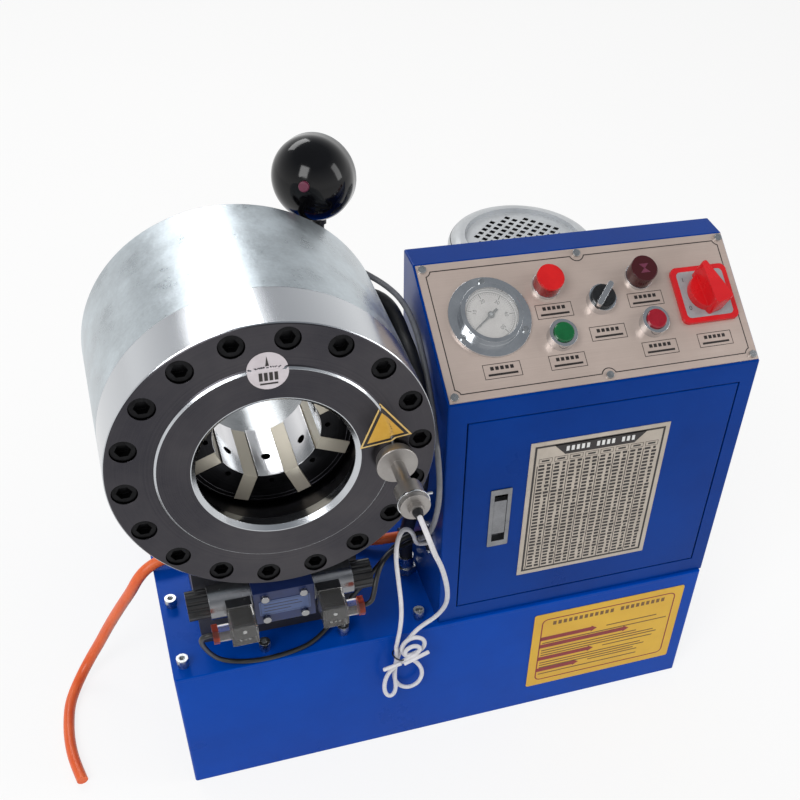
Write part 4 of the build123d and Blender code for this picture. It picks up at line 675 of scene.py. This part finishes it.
# ---- shape makers ----
def lathe(profile, place, steps=64, closed=False):
    """A profile of (radius, height) turned about the place's z."""
    corners = []
    rings = []
    for radius, height in profile:
        if radius == 0:
            corners.append(place @ (Vector((0, 0, height)) * MM))
            rings.append([len(corners) - 1] * steps)
            continue
        start = len(corners)
        for step in range(steps):
            a = 2 * pi * step / steps
            corners.append(place @ (Vector((radius * cos(a), radius * sin(a), height)) * MM))
        rings.append(list(range(start, start + steps)))
    pairs = list(zip(rings, rings[1:])) + ([(rings[-1], rings[0])] if closed else [])
    faces = []
    for low, high in pairs:
        for step in range(steps):
            after = (step + 1) % steps
            face = [low[step], low[after], high[after], high[step]]
            faces.append([c for i, c in enumerate(face) if c not in face[:i]])
    return corners, faces


def slab(outline, low, high, place):
    """A flat outline of (x, y), counterclockwise, with its low and high side."""
    count = len(outline)
    corners = [place @ (Vector((x, y, low)) * MM) for x, y in outline]
    corners += [place @ (Vector((x, y, high)) * MM) for x, y in outline]
    faces = [list(range(count))[::-1], list(range(count, 2 * count))]
    for i in range(count):
        j = (i + 1) % count
        faces.append([i, j, count + j, count + i])
    return corners, faces


def rectangle(x, y, width, height):
    """Outline of a rectangle about its middle."""
    return [
        (x - width / 2, y - height / 2),
        (x + width / 2, y - height / 2),
        (x + width / 2, y + height / 2),
        (x - width / 2, y + height / 2),
    ]


def bar(place, x, y, width, height, low=PRINT_LOW, high=PRINT_HIGH):
    """A flat rectangle that stands on a place."""
    return slab(rectangle(x, y, width, height), low, high, place)


def rounded(x, y, width, height, radius):
    """Outline of a rectangle with round corners."""
    outline = []
    for way_x, way_y, first in ((1, -1, -90), (1, 1, 0), (-1, 1, 90), (-1, -1, 180)):
        for step in range(7):
            a = radians(first + 90 * step / 6)
            corner_x = x + way_x * (width / 2 - radius)
            corner_y = y + way_y * (height / 2 - radius)
            outline.append((corner_x + radius * cos(a), corner_y + radius * sin(a)))
    return outline


def framed(outer, inner, low, high, place):
    """The band between two outlines with as many corners."""
    count = len(outer)
    corners = []
    for outline in (outer, inner):
        for level in (low, high):
            corners += [place @ (Vector((x, y, level)) * MM) for x, y in outline]
    faces = []
    for i in range(count):
        j = (i + 1) % count
        faces.append([i, j, count + j, count + i])
        faces.append([2 * count + j, 2 * count + i, 3 * count + i, 3 * count + j])
        faces.append([count + i, count + j, 3 * count + j, 3 * count + i])
        faces.append([j, i, 2 * count + i, 2 * count + j])
    return corners, faces


def numeral(text, size, x, y, low, high, place, turn=0.0):
    """A plain number, standing on a place."""
    letters = bpy.data.curves.new("numeral", "FONT")
    letters.body = text
    letters.size = size * MM
    letters.align_x = "CENTER"
    letters.align_y = "CENTER"
    letters.extrude = (high - low) / 2 * MM
    letters.resolution_u = 3
    holder = bpy.data.objects.new("numeral", letters)
    bpy.context.scene.collection.objects.link(holder)
    bpy.context.view_layer.update()
    mesh = bpy.data.meshes.new_from_object(holder)
    where = place @ shift(x, y, (low + high) / 2) @ spin(turn)
    corners = [where @ corner.co for corner in mesh.vertices]
    faces = [list(face.vertices) for face in mesh.polygons]
    bpy.data.meshes.remove(mesh)
    bpy.data.objects.remove(holder)
    bpy.data.curves.remove(letters)
    return corners, faces


def piece(name, shapes, material, body="machine", bevel=0.0):
    """One named piece made of shapes, riding on a body."""
    corners = []
    faces = []
    for shape_corners, shape_faces in shapes:
        start = len(corners)
        corners += shape_corners
        faces += [[start + c for c in face] for face in shape_faces if len(face) > 2]
    mesh = bpy.data.meshes.new(name)
    mesh.from_pydata([tuple(c) for c in corners], [], faces)
    mesh.validate()
    mesh.materials.append(material)
    mesh.shade_smooth()
    mesh.set_sharp_from_angle(angle=radians(32))
    made = bpy.data.objects.new(name, mesh)
    bpy.context.scene.collection.objects.link(made)
    if bevel:
        edge = made.modifiers.new("edge", "BEVEL")
        edge.width = bevel * MM
        edge.segments = 2
        edge.limit_method = "ANGLE"
        edge.angle_limit = radians(40)
    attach(made, body)


FLOOR_SIZE = 16000.0
floor_outline = rectangle(TANK_WIDTH / 2, TANK_DEPTH / 2, FLOOR_SIZE, FLOOR_SIZE)
floor_corners, floor_faces = slab(floor_outline, -4.0, 0.0, Matrix.Translation(spot(0, 0, 0)))
floor_mesh = bpy.data.meshes.new("floor")
floor_mesh.from_pydata([tuple(c) for c in floor_corners], [], floor_faces)
floor_mesh.materials.append(studio_floor)
floor = bpy.data.objects.new("floor", floor_mesh)
bpy.context.scene.collection.objects.link(floor)


# ---- cords ----
def cord(name, route, diameter, material):
    """A cord on one smooth line through its route, in the place of the node with its name."""
    line = bpy.data.curves.new(name, "CURVE")
    line.dimensions = "3D"
    line.bevel_depth = diameter / 2 * MM
    line.bevel_resolution = 5
    line.resolution_u = 10
    line.use_fill_caps = True
    run = line.splines.new("NURBS")
    run.points.add(len(route) - 1)
    for point, place in zip(run.points, route):
        point.co = (*spot(*place), 1.0)
    run.order_u = 3
    run.use_endpoint_u = True
    line.materials.append(material)
    made = bpy.data.objects.new(name + "_sheath", line)
    bpy.context.scene.collection.objects.link(made)
    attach(made, "machine")
    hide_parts(name)


# Bare-ended lead: behind the head, over the tank's left edge and down to the floor.
mains_route = [
    (290, 140, 206), (270, 140, 206), (245, 149, 201), (215, 163, 197.3), (175, 173.5, 197.5),
    (130, 177, 196.9), (92, 178, 197.4), (60, 178.5, 199.6), (33, 178, 202.4), (10, 176, 203),
    (-7, 172, 196.8), (-19.5, 169.8, 184), (-29, 174, 163), (-45, 185, 130), (-65, 198, 87),
    (-82, 204, 52), (-97, 204, 28), (-110, 193, 15), (-121, 175, 9.5), (-130, 152, 7.2),
    (-134, 121, 6.6), (-134.5, 92, 6.9), (-131.5, 62, 6.6), (-125, 34, 6.6),
]
cord("mains_cord", mains_route, 13.0, orange_pvc)

# Pressure hose: from the head's elbow down to the fitting on the lid.
hose_route = [
    (240, 175, 527.34), (256, 175, 527.34), (271.5, 169.5, 526), (282, 157, 521), (286, 138, 514),
    (286, 114, 509), (284.5, 89, 510.5), (283, 65, 505.5), (282.7, 46, 490.5), (282.7, 34, 468.5),
    (283, 30, 440), (284.5, 35, 404), (286, 45, 363), (286, 63, 325), (286, 83, 288),
    (286, 98, 252), (286, 98, 216),
]
cord("pressure_hose", hose_route, 16.0, hose_rubber)

# Lamp's cable: over the head, down beside it and into the cabinet.
lamp_cable_route = [
    (212, 166, 585), (224.5, 166, 578.6), (243, 170, 566), (262, 170, 553), (279, 158, 545),
    (290, 135, 540), (294.5, 105, 530), (294.8, 75, 511), (294.8, 52, 489), (294.2, 33, 468),
    (291, 14, 456), (289, -2, 443), (288.5, -11, 420), (288.5, -11, 392), (289, -1, 362),
    (289, 13, 331), (286, 27, 309), (285, 39, 296), (287.5, 46, 291), (296, 46, 291),
]
cord("lamp_cable", lamp_cable_route, 6.0, grey_pvc)

# Limit switch's cord: hangs from its end down to the tied loops.
front_cord_route = [
    (232, -121.2, 491), (232, -132, 491), (234, -140.5, 484.5), (238, -144.5, 471),
    (244.5, -139.5, 450), (253, -128, 427), (265.2, -108, 386.7), (277.7, -82, 338.7),
    (286.5, -58, 296.7), (291, -36, 259.9), (286.5, -20, 229), (276.5, -12, 212.3),
    (265.8, -9, 198.6), (255.4, -9, 182.8),
]
cord("switch_cord_front", front_cord_route, 5.0, white_pvc)

# The same cord, from the tied loops up into the cabinet.
rear_cord_route = [
    (245, -9, 179), (250, -9, 209), (252, -6, 241), (249, 0, 284), (247.5, 4, 310),
    (250.5, 10, 327), (258, 19, 334), (268, 28, 326), (277, 37, 307), (281, 43, 289),
    (287, 46, 281), (296, 46, 281),
]
cord("switch_cord_rear", rear_cord_route, 5.0, white_pvc)

# Left plug's cable: in front of the valve, then up into the cabinet.
left_valve_route = [
    (46.85, -22.6, 276), (38.5, -22.6, 276), (34.5, -19, 267.5), (36, -12, 250), (42, -2, 225),
    (51, 5, 204.5), (65, 6.5, 194.5), (83, 3, 193.2), (103, 2, 193), (127, 4, 193.1),
    (149, 9, 193.4), (168, 20, 196), (185, 32, 206), (205, 37, 225), (227, 39, 253), (249, 43, 278),
    (266, 50, 289.5), (280, 54, 291), (296, 54, 291),
]
cord("valve_cable_left", left_valve_route, 5.5, black_pvc)

# Right plug's cable: up beside the head's foot and into the cabinet.
right_valve_route = [
    (204.75, -22.6, 276), (212.5, -22.6, 276), (217.5, -18.5, 285), (222, -10, 297), (230, 2, 305),
    (243, 18, 304), (256, 33, 294), (268, 45, 284), (281, 54, 281), (296, 54, 281),
]
cord("valve_cable_right", right_valve_route, 5.5, black_pvc)

# ---- printed panel and its marks ----
plate_top = PLATE_FACE + SEAT
print_top = plate_top + 0.08
label_size = (39.3, 15.7)
label_places = [
    (62.7, 28.8), (132.4, 84.0), (132.3, 28.8), (183.4, 53.3), (234.4, 84.3), (235.4, 29.3), (299.2, 30.4),
]
sheet = on_panel(0, 0)
marks = []
for u, v in label_places:
    outer = rectangle(u, v, *label_size)
    inner = rectangle(u, v, label_size[0] - 1.2, label_size[1] - 1.2)
    marks.append(framed(outer, inner, plate_top, print_top, sheet))
    for step in range(-2, 3):
        marks.append(bar(sheet, u + 5.2 * step, v + 3.0, 3.6, 3.8, plate_top, print_top))
    marks.append(bar(sheet, u, v - 3.6, 31.0, 2.2, plate_top, print_top))


def border_line(inset, notch):
    """Outline inside the plate's edge that steps round the six screws."""
    margin = 7.5
    right = CABINET_WIDTH - margin
    head = PANEL_HEIGHT - margin
    middle = CABINET_WIDTH / 2
    lean = degrees(asin((inset - margin) / notch))
    outline = []
    arcs = [
        (margin, margin, 90 - lean, lean),
        (middle, margin, 180 - lean, lean),
        (right, margin, 180 - lean, 90 + lean),
        (right, head, 270 - lean, 180 + lean),
        (middle, head, -lean, lean - 180),
        (margin, head, -lean, lean - 90),
    ]
    for u, v, first, last in arcs:
        for step in range(13):
            a = radians(first + (last - first) * step / 12)
            outline.append((u + notch * cos(a), v + notch * sin(a)))
    return outline


line_width = 1.0
outer_line = border_line(9.5, 7.5)
inner_line = border_line(9.5 + line_width, 7.5 + line_width)
marks.append(framed(outer_line, inner_line, plate_top, print_top, sheet))
piece("panel_print", marks, black_print)

# ---- pressure gauge ----
GAUGE = (63.3, 84.8)
dial_height = 6.6
dial_place = on_panel(*GAUGE, dial_height)
scale_start = 215.0
scale_sweep = 270.0
dial_profile = [(1.8, 0.05), (26.8, 0.05), (26.8, 0.3), (1.8, 0.3)]
piece("gauge_dial", [lathe(dial_profile, dial_place, closed=True)], dial_enamel)
marks = []
tick_count = 50
for tick in range(tick_count + 1):
    major = tick % 10 == 0
    turn = scale_start - scale_sweep * tick / tick_count
    ray = on_panel(*GAUGE, dial_height, turn)
    reach = 5.0 if major else 2.6
    marks.append(bar(ray, 24.6 - reach / 2, 0, reach, 0.7 if major else 0.3, 0.3, 0.38))
    if major:
        a = radians(turn)
        where = (16.2 * cos(a), 16.2 * sin(a), 0.3, 0.38)
        marks.append(numeral(str(tick), 5.4, *where, dial_place, turn - 90))
marks.append(lathe([(24.6, 0.3), (25.0, 0.3), (25.0, 0.38), (24.6, 0.38)], dial_place, closed=True))
piece("gauge_marks", marks, black_print)
glass_profile = [(0, 5.9), (26.6, 5.9), (26.6, 6.7), (0, 6.7)]
piece("gauge_glass", [lathe(glass_profile, dial_place, 96)], gauge_glass)

# ---- rotary switch ----
MAIN_SWITCH = (300.5, 80.7)
switch_face = on_panel(*MAIN_SWITCH, PLATE_FACE + SEAT + 4.0)
piece("switch_face", [slab(rounded(0, 0, 54.0, 52.0, 5.0), 0.02, 0.2, switch_face)], grey_abs)
marks = [
    numeral("1", 7.0, -21.0, 17.0, 0.2, 0.27, switch_face),
    numeral("0", 7.0, -21.0, -15.0, 0.2, 0.27, switch_face),
]
piece("switch_marks", marks, black_print)

# ---- size table plate ----
TABLE_LEFT = 390.7
TABLE_RIGHT = 550.7
TABLE_FOOT = 245.3
TABLE_HEAD = 437.9
table_front = CABINET_FRONT - SEAT - PLATE_SKIN
table_place = upright((TABLE_LEFT + TABLE_RIGHT) / 2, table_front, (TABLE_FOOT + TABLE_HEAD) / 2)
table_width = TABLE_RIGHT - TABLE_LEFT
table_height = TABLE_HEAD - TABLE_FOOT
line_inset = 5.0
line_width = 2.4
line_outer = rectangle(0, 0, table_width - 2 * line_inset, table_height - 2 * line_inset)
line_size = [side - 2 * (line_inset + line_width) for side in (table_width, table_height)]
dark = [framed(line_outer, rectangle(0, 0, *line_size), PRINT_LOW, PRINT_HIGH, table_place)]
banner_head = table_height / 2 - line_inset - 1.0
banner_foot = banner_head - 14.5
banner = [(-40, banner_foot), (40, banner_foot), (54, banner_head), (-54, banner_head)]
dark.append(slab(banner, PRINT_LOW, PRINT_HIGH, table_place))
pale = []
for step in range(14):
    if step not in (5, 10):
        middle = (banner_head + banner_foot) / 2
        pale.append(bar(table_place, -37.7 + 5.8 * step, middle, 3.4, 6.4, PRINT_HIGH, 0.16))
column_count = 8
row_count = 32
column_pitch = (table_width - 2 * line_inset - 9) / column_count
heads_foot = banner_foot - 9.0
row_pitch = (heads_foot + table_height / 2 - line_inset - 4) / row_count
for column in range(column_count):
    x = (column + 0.5 - column_count / 2) * column_pitch
    cell = rectangle(x, banner_foot - 5.0, column_pitch - 2.4, 6.4)
    cell_inner = rectangle(x, banner_foot - 5.0, column_pitch - 3.4, 5.4)
    dark.append(framed(cell, cell_inner, PRINT_LOW, PRINT_HIGH, table_place))
    dark.append(bar(table_place, x, banner_foot - 5.0, 0.5 * column_pitch, 2.2))
    middle = (heads_foot - table_height / 2 + line_inset) / 2
    dark.append(bar(table_place, x - column_pitch / 2, middle, 0.9, row_count * row_pitch))
    for row in range(row_count):
        y = heads_foot - row_pitch * (row + 0.5)
        mark_width = random.uniform(0.3, 0.42) * column_pitch
        dark.append(bar(table_place, x - 0.22 * column_pitch, y, mark_width, 2.9))
        mark_width = random.uniform(0.16, 0.34) * column_pitch
        dark.append(bar(table_place, x + 0.25 * column_pitch, y, mark_width, 3.2))
piece("size_table_print", dark, black_print, "door")
piece("size_table_title", pale, white_print, "door")

# ---- instruction plate ----
NOTICE_LEFT = 420.0
NOTICE_RIGHT = 622.0
NOTICE_FOOT = 35.0
NOTICE_HEAD = 170.0
notice_front = -SEAT - PLATE_SKIN
notice_place = upright((NOTICE_LEFT + NOTICE_RIGHT) / 2, notice_front, (NOTICE_FOOT + NOTICE_HEAD) / 2)
notice_width = NOTICE_RIGHT - NOTICE_LEFT
notice_height = NOTICE_HEAD - NOTICE_FOOT
frame_outer = rounded(0, 0, notice_width - 21, notice_height - 19, 8)
frame_inner = rounded(0, 0, notice_width - 24.2, notice_height - 22.2, 6.4)
red_marks = [framed(frame_outer, frame_inner, PRINT_LOW, PRINT_HIGH, notice_place)]
brown_marks = []
title = notice_height / 2 - 19.0
for step in range(22):
    if step != 12:
        brown_marks.append(bar(notice_place, -73.5 + 7.0 * step, title, 4.4, 6.6))
arrows = [(22.0, 76, 1), (8.0, 122, 3), (-16.0, 76, 3), (-38.0, 58, 1)]
arrow_left = 11.5 - notice_width / 2
for y, length, line_count in arrows:
    tip = arrow_left + length
    arrow = [(arrow_left, y - 3.4), (tip - 8, y - 3.4), (tip - 8, y - 5.4), (tip, y), (tip - 8, y + 5.4)]
    arrow += [(tip - 8, y + 3.4), (arrow_left, y + 3.4)]
    red_marks.append(slab(arrow, PRINT_LOW, PRINT_HIGH, notice_place))
    for line in range(line_count):
        width = random.uniform(130, 172)
        row = y - 8.4 - 4.6 * line
        brown_marks.append(bar(notice_place, arrow_left + 3 + width / 2, row, width, 1.8))
    if length < 100:
        brown_marks.append(bar(notice_place, tip + 48, y, 70, 1.8))
piece("instruction_print", red_marks, maroon_print)
piece("instruction_lines", brown_marks, brown_print)


# ---- stickers on the flange ----
FILM = 0.12  # thickness of a sticker
TRIANGLE = (97, 24)  # middle of the amber triangle, from the head's axis
TRIANGLE_TIP = 97  # degrees from straight right to its first tip
head_face = upright(HEAD_X, HEAD_FACE, HEAD_Z)


def on_flange(x, y, level):
    """A point over the flange's face, whose middle stands proud by a step with a sloped edge."""
    rise = (FLANGE_STEP_RADIUS + 0.6 - hypot(x, y)) / 1.6
    step = FLANGE_STEP * min(1.0, max(0.0, rise))
    return head_face @ (Vector((x, y, step + level)) * MM)


def sticker(outline, lift, rings=12):
    """A film that follows the flange's face, in rings about the middle of its outline."""
    centre = Vector((sum(p[0] for p in outline), sum(p[1] for p in outline))) / len(outline)
    corners = []
    faces = []
    count = len(outline)
    for level in (lift, lift + FILM):
        start = len(corners)
        corners.append(on_flange(*centre, level))
        for ring in range(1, rings + 1):
            for x, y in outline:
                p = centre + (Vector((x, y)) - centre) * ring / rings
                corners.append(on_flange(*p, level))
        for i in range(count):
            j = (i + 1) % count
            first = [start, start + 1 + i, start + 1 + j]
            faces.append(first if level > lift else first[::-1])
            for ring in range(rings - 1):
                a = start + 1 + ring * count
                b = a + count
                quad = [a + i, b + i, b + j, a + j]
                faces.append(quad if level > lift else quad[::-1])
    size = 1 + rings * count
    edge = 1 + (rings - 1) * count
    for i in range(count):
        j = (i + 1) % count
        faces.append([edge + i, edge + j, size + edge + j, size + edge + i])
    return corners, faces


def ring_outline(x, y, radius, count=48):
    """Outline of a circle about its middle."""
    angles = [2 * pi * k / count for k in range(count)]
    return [(x + radius * cos(a), y + radius * sin(a)) for a in angles]


def triangle_outline(side):
    """Outline of the plain amber triangle, with equal sides about its middle on the flange."""
    reach = side / 3**0.5
    angles = [radians(TRIANGLE_TIP + 120 * k) for k in range(3)]
    tips = [Vector((TRIANGLE[0] + reach * cos(a), TRIANGLE[1] + reach * sin(a))) for a in angles]
    outline = []
    for k in range(3):
        edge = tips[(k + 1) % 3] - tips[k]
        outline += [tuple(tips[k] + edge * step / 10) for step in range(10)]
    return outline


piece("round_sticker", [sticker(ring_outline(-1, 103, 17.2), 0.2)], white_film)
ledge = (FLANGE_STEP + 0.4, FLANGE_STEP + 0.5)
marks = [slab([(-2.6, 106.6), (0.6, 106.6), (-1.0, 116.5)], 0.4, 0.5, head_face)]
marks += [bar(head_face, -7.5 + 4.3 * step, 98.5, 3.0, 8.0, *ledge) for step in range(4)]
marks.append(bar(head_face, -1.0, 91.5, 15.0, 1.6, *ledge))
piece("round_sticker_marks", marks, black_print)
piece("triangle_edge", [sticker(triangle_outline(50), 0.2)], pale_amber_film)
piece("triangle_border", [sticker(triangle_outline(44.5), 0.4)], black_print)
piece("triangle_middle", [sticker(triangle_outline(35), 0.6)], amber_film)

# ---- buzzer's painted highlight and limit switch ----
# Two paler triangles on the buzzer's top: a painted highlight.
buzzer_top = on_panel(232.5, 108.8, 21.65)
highlight_marks = [slab([(-5.5, -5.0), (5.5, -5.0), (0, 0.4)], 0.02, 0.12, buzzer_top)]
highlight_marks.append(slab([(5.5, 5.0), (-5.5, 5.0), (0, -0.4)], 0.02, 0.12, buzzer_top))
piece("buzzer_highlight", highlight_marks, pink_rubber)
SWITCH_X = 232.0
SWITCH_Z = 491.0
switch_ring = upright(SWITCH_X, -109.2, SWITCH_Z)
ring_profile = [(14.1, -0.9), (15.2, -0.9), (15.2, 0.9), (14.1, 0.9)]
piece("switch_ring", [lathe(ring_profile, switch_ring, closed=True)], chrome, bevel=0.2)
pin_place = switch_ring @ shift(13.0, 3.0, -6.0) @ spin(90, "Y")
pin_profile = [(0, 0), (1.3, 0), (1.3, 6.0), (0, 6.0)]
piece("switch_pin", [lathe(pin_profile, pin_place, 20)], chrome)
relief_place = upright(SWITCH_X, -121.3, SWITCH_Z)
relief_profile = [(2.6, 0.0), (5.0, 0.0), (4.6, 3.0), (3.4, 7.0), (2.6, 7.0)]
piece("switch_relief", [lathe(relief_profile, relief_place, 32, closed=True)], black_nylon)

# ---- valve ----
VALVE_Z = 276.0
valve_face = upright(HEAD_X, -SEAT, VALVE_Z)
nameplate = slab(rounded(0, 0, 54, 21, 1.5), 0.05, 0.5, valve_face)
piece("valve_nameplate", [nameplate], nameplate_blue)
marks = [framed(rectangle(0, 0, 51, 18), rectangle(0, 0, 50.4, 17.4), 0.5, 0.56, valve_face)]
for x, y, width in ((-4, 4.5, 36), (-2, 0, 40), (-8, -4.5, 28)):
    marks.append(bar(valve_face, x, y, width, 0.9, 0.5, 0.56))
piece("valve_nameplate_print", marks, black_print)
for side, way in (("left", -1), ("right", 1)):
    core = upright(HEAD_X + way * 47.2, -8.0, VALVE_Z)
    inner = [slab(rounded(0, 2.4, 23.0, 18.6, 2.0), -3.0, 20.4, core)]
    inner.append(slab(rounded(0, -9.9, 17.0, 3.4, 1.2), -3.0, 14.0, core))
    piece("plug_core_" + side, inner, black_nylon, bevel=0.5)
    pins = [bar(core, -4.5 + 4.5 * pin, -10.0, 2.4, 1.6, 14.2, 19.0) for pin in range(3)]
    pins.append(lathe([(0, 20.6), (2.2, 20.6), (2.2, 21.6), (0, 21.6)], core @ shift(0, 3.0, 0), 20))
    piece("plug_contacts_" + side, pins, zinc_plating)

# ---- hank ----
# The switch cord's spare length: two long loops and two small ones, tied.
hank_route = [
    (255.4, -9, 182.8), (252.5, -8, 177), (250.5, -7, 169), (246, -7, 152), (242, -7, 130),
    (246, -7, 109), (259, -7, 97), (273, -8, 103), (278, -9, 122), (272, -11, 143),
    (260, -12.5, 159), (252, -13, 169), (250, -13, 180), (255, -13, 191), (266, -14, 196),
    (277, -15, 189), (276, -17, 177), (263, -18, 171), (252, -19.5, 173), (253, -20, 184),
    (263, -20.5, 189), (271, -21, 183), (266, -21.5, 174), (254, -21, 168), (240, -19, 158),
    (231, -17, 141), (228, -16, 119), (232, -15, 101), (240, -14, 98), (244, -13, 110),
    (242, -12.5, 131), (243, -12.5, 150), (245, -12, 166), (245, -9, 179),
]
cord("cord_hank", hank_route, 5.0, white_pvc)


def cord_end(name, foot, tip):
    """A cut end of the spare cord, sticking out of the tie."""
    way = (spot(*tip) - spot(*foot)) / MM
    length = way.length
    place = Matrix.Translation(spot(*foot)) @ way.to_track_quat("Z", "Y").to_matrix().to_4x4()
    profile = [(0, 0), (2.4, 0), (2.4, length - 1), (1.6, length), (0, length)]
    piece(name, [lathe(profile, place, 24)], white_pvc)


cord_end("spare_end_left", (247, -23.5, 166), (226, -22, 159))
cord_end("spare_end_right", (250, -24.5, 165), (280, -23.5, 176))
tie_place = Matrix.Translation(spot(248.0, -12.8, 168.5)) @ spin(20, "Y")
tie_profile = ring_outline(8.6, 0.0, 0.9, 10)
piece("hank_tie", [lathe(tie_profile, tie_place, 40, closed=True)], black_pvc)
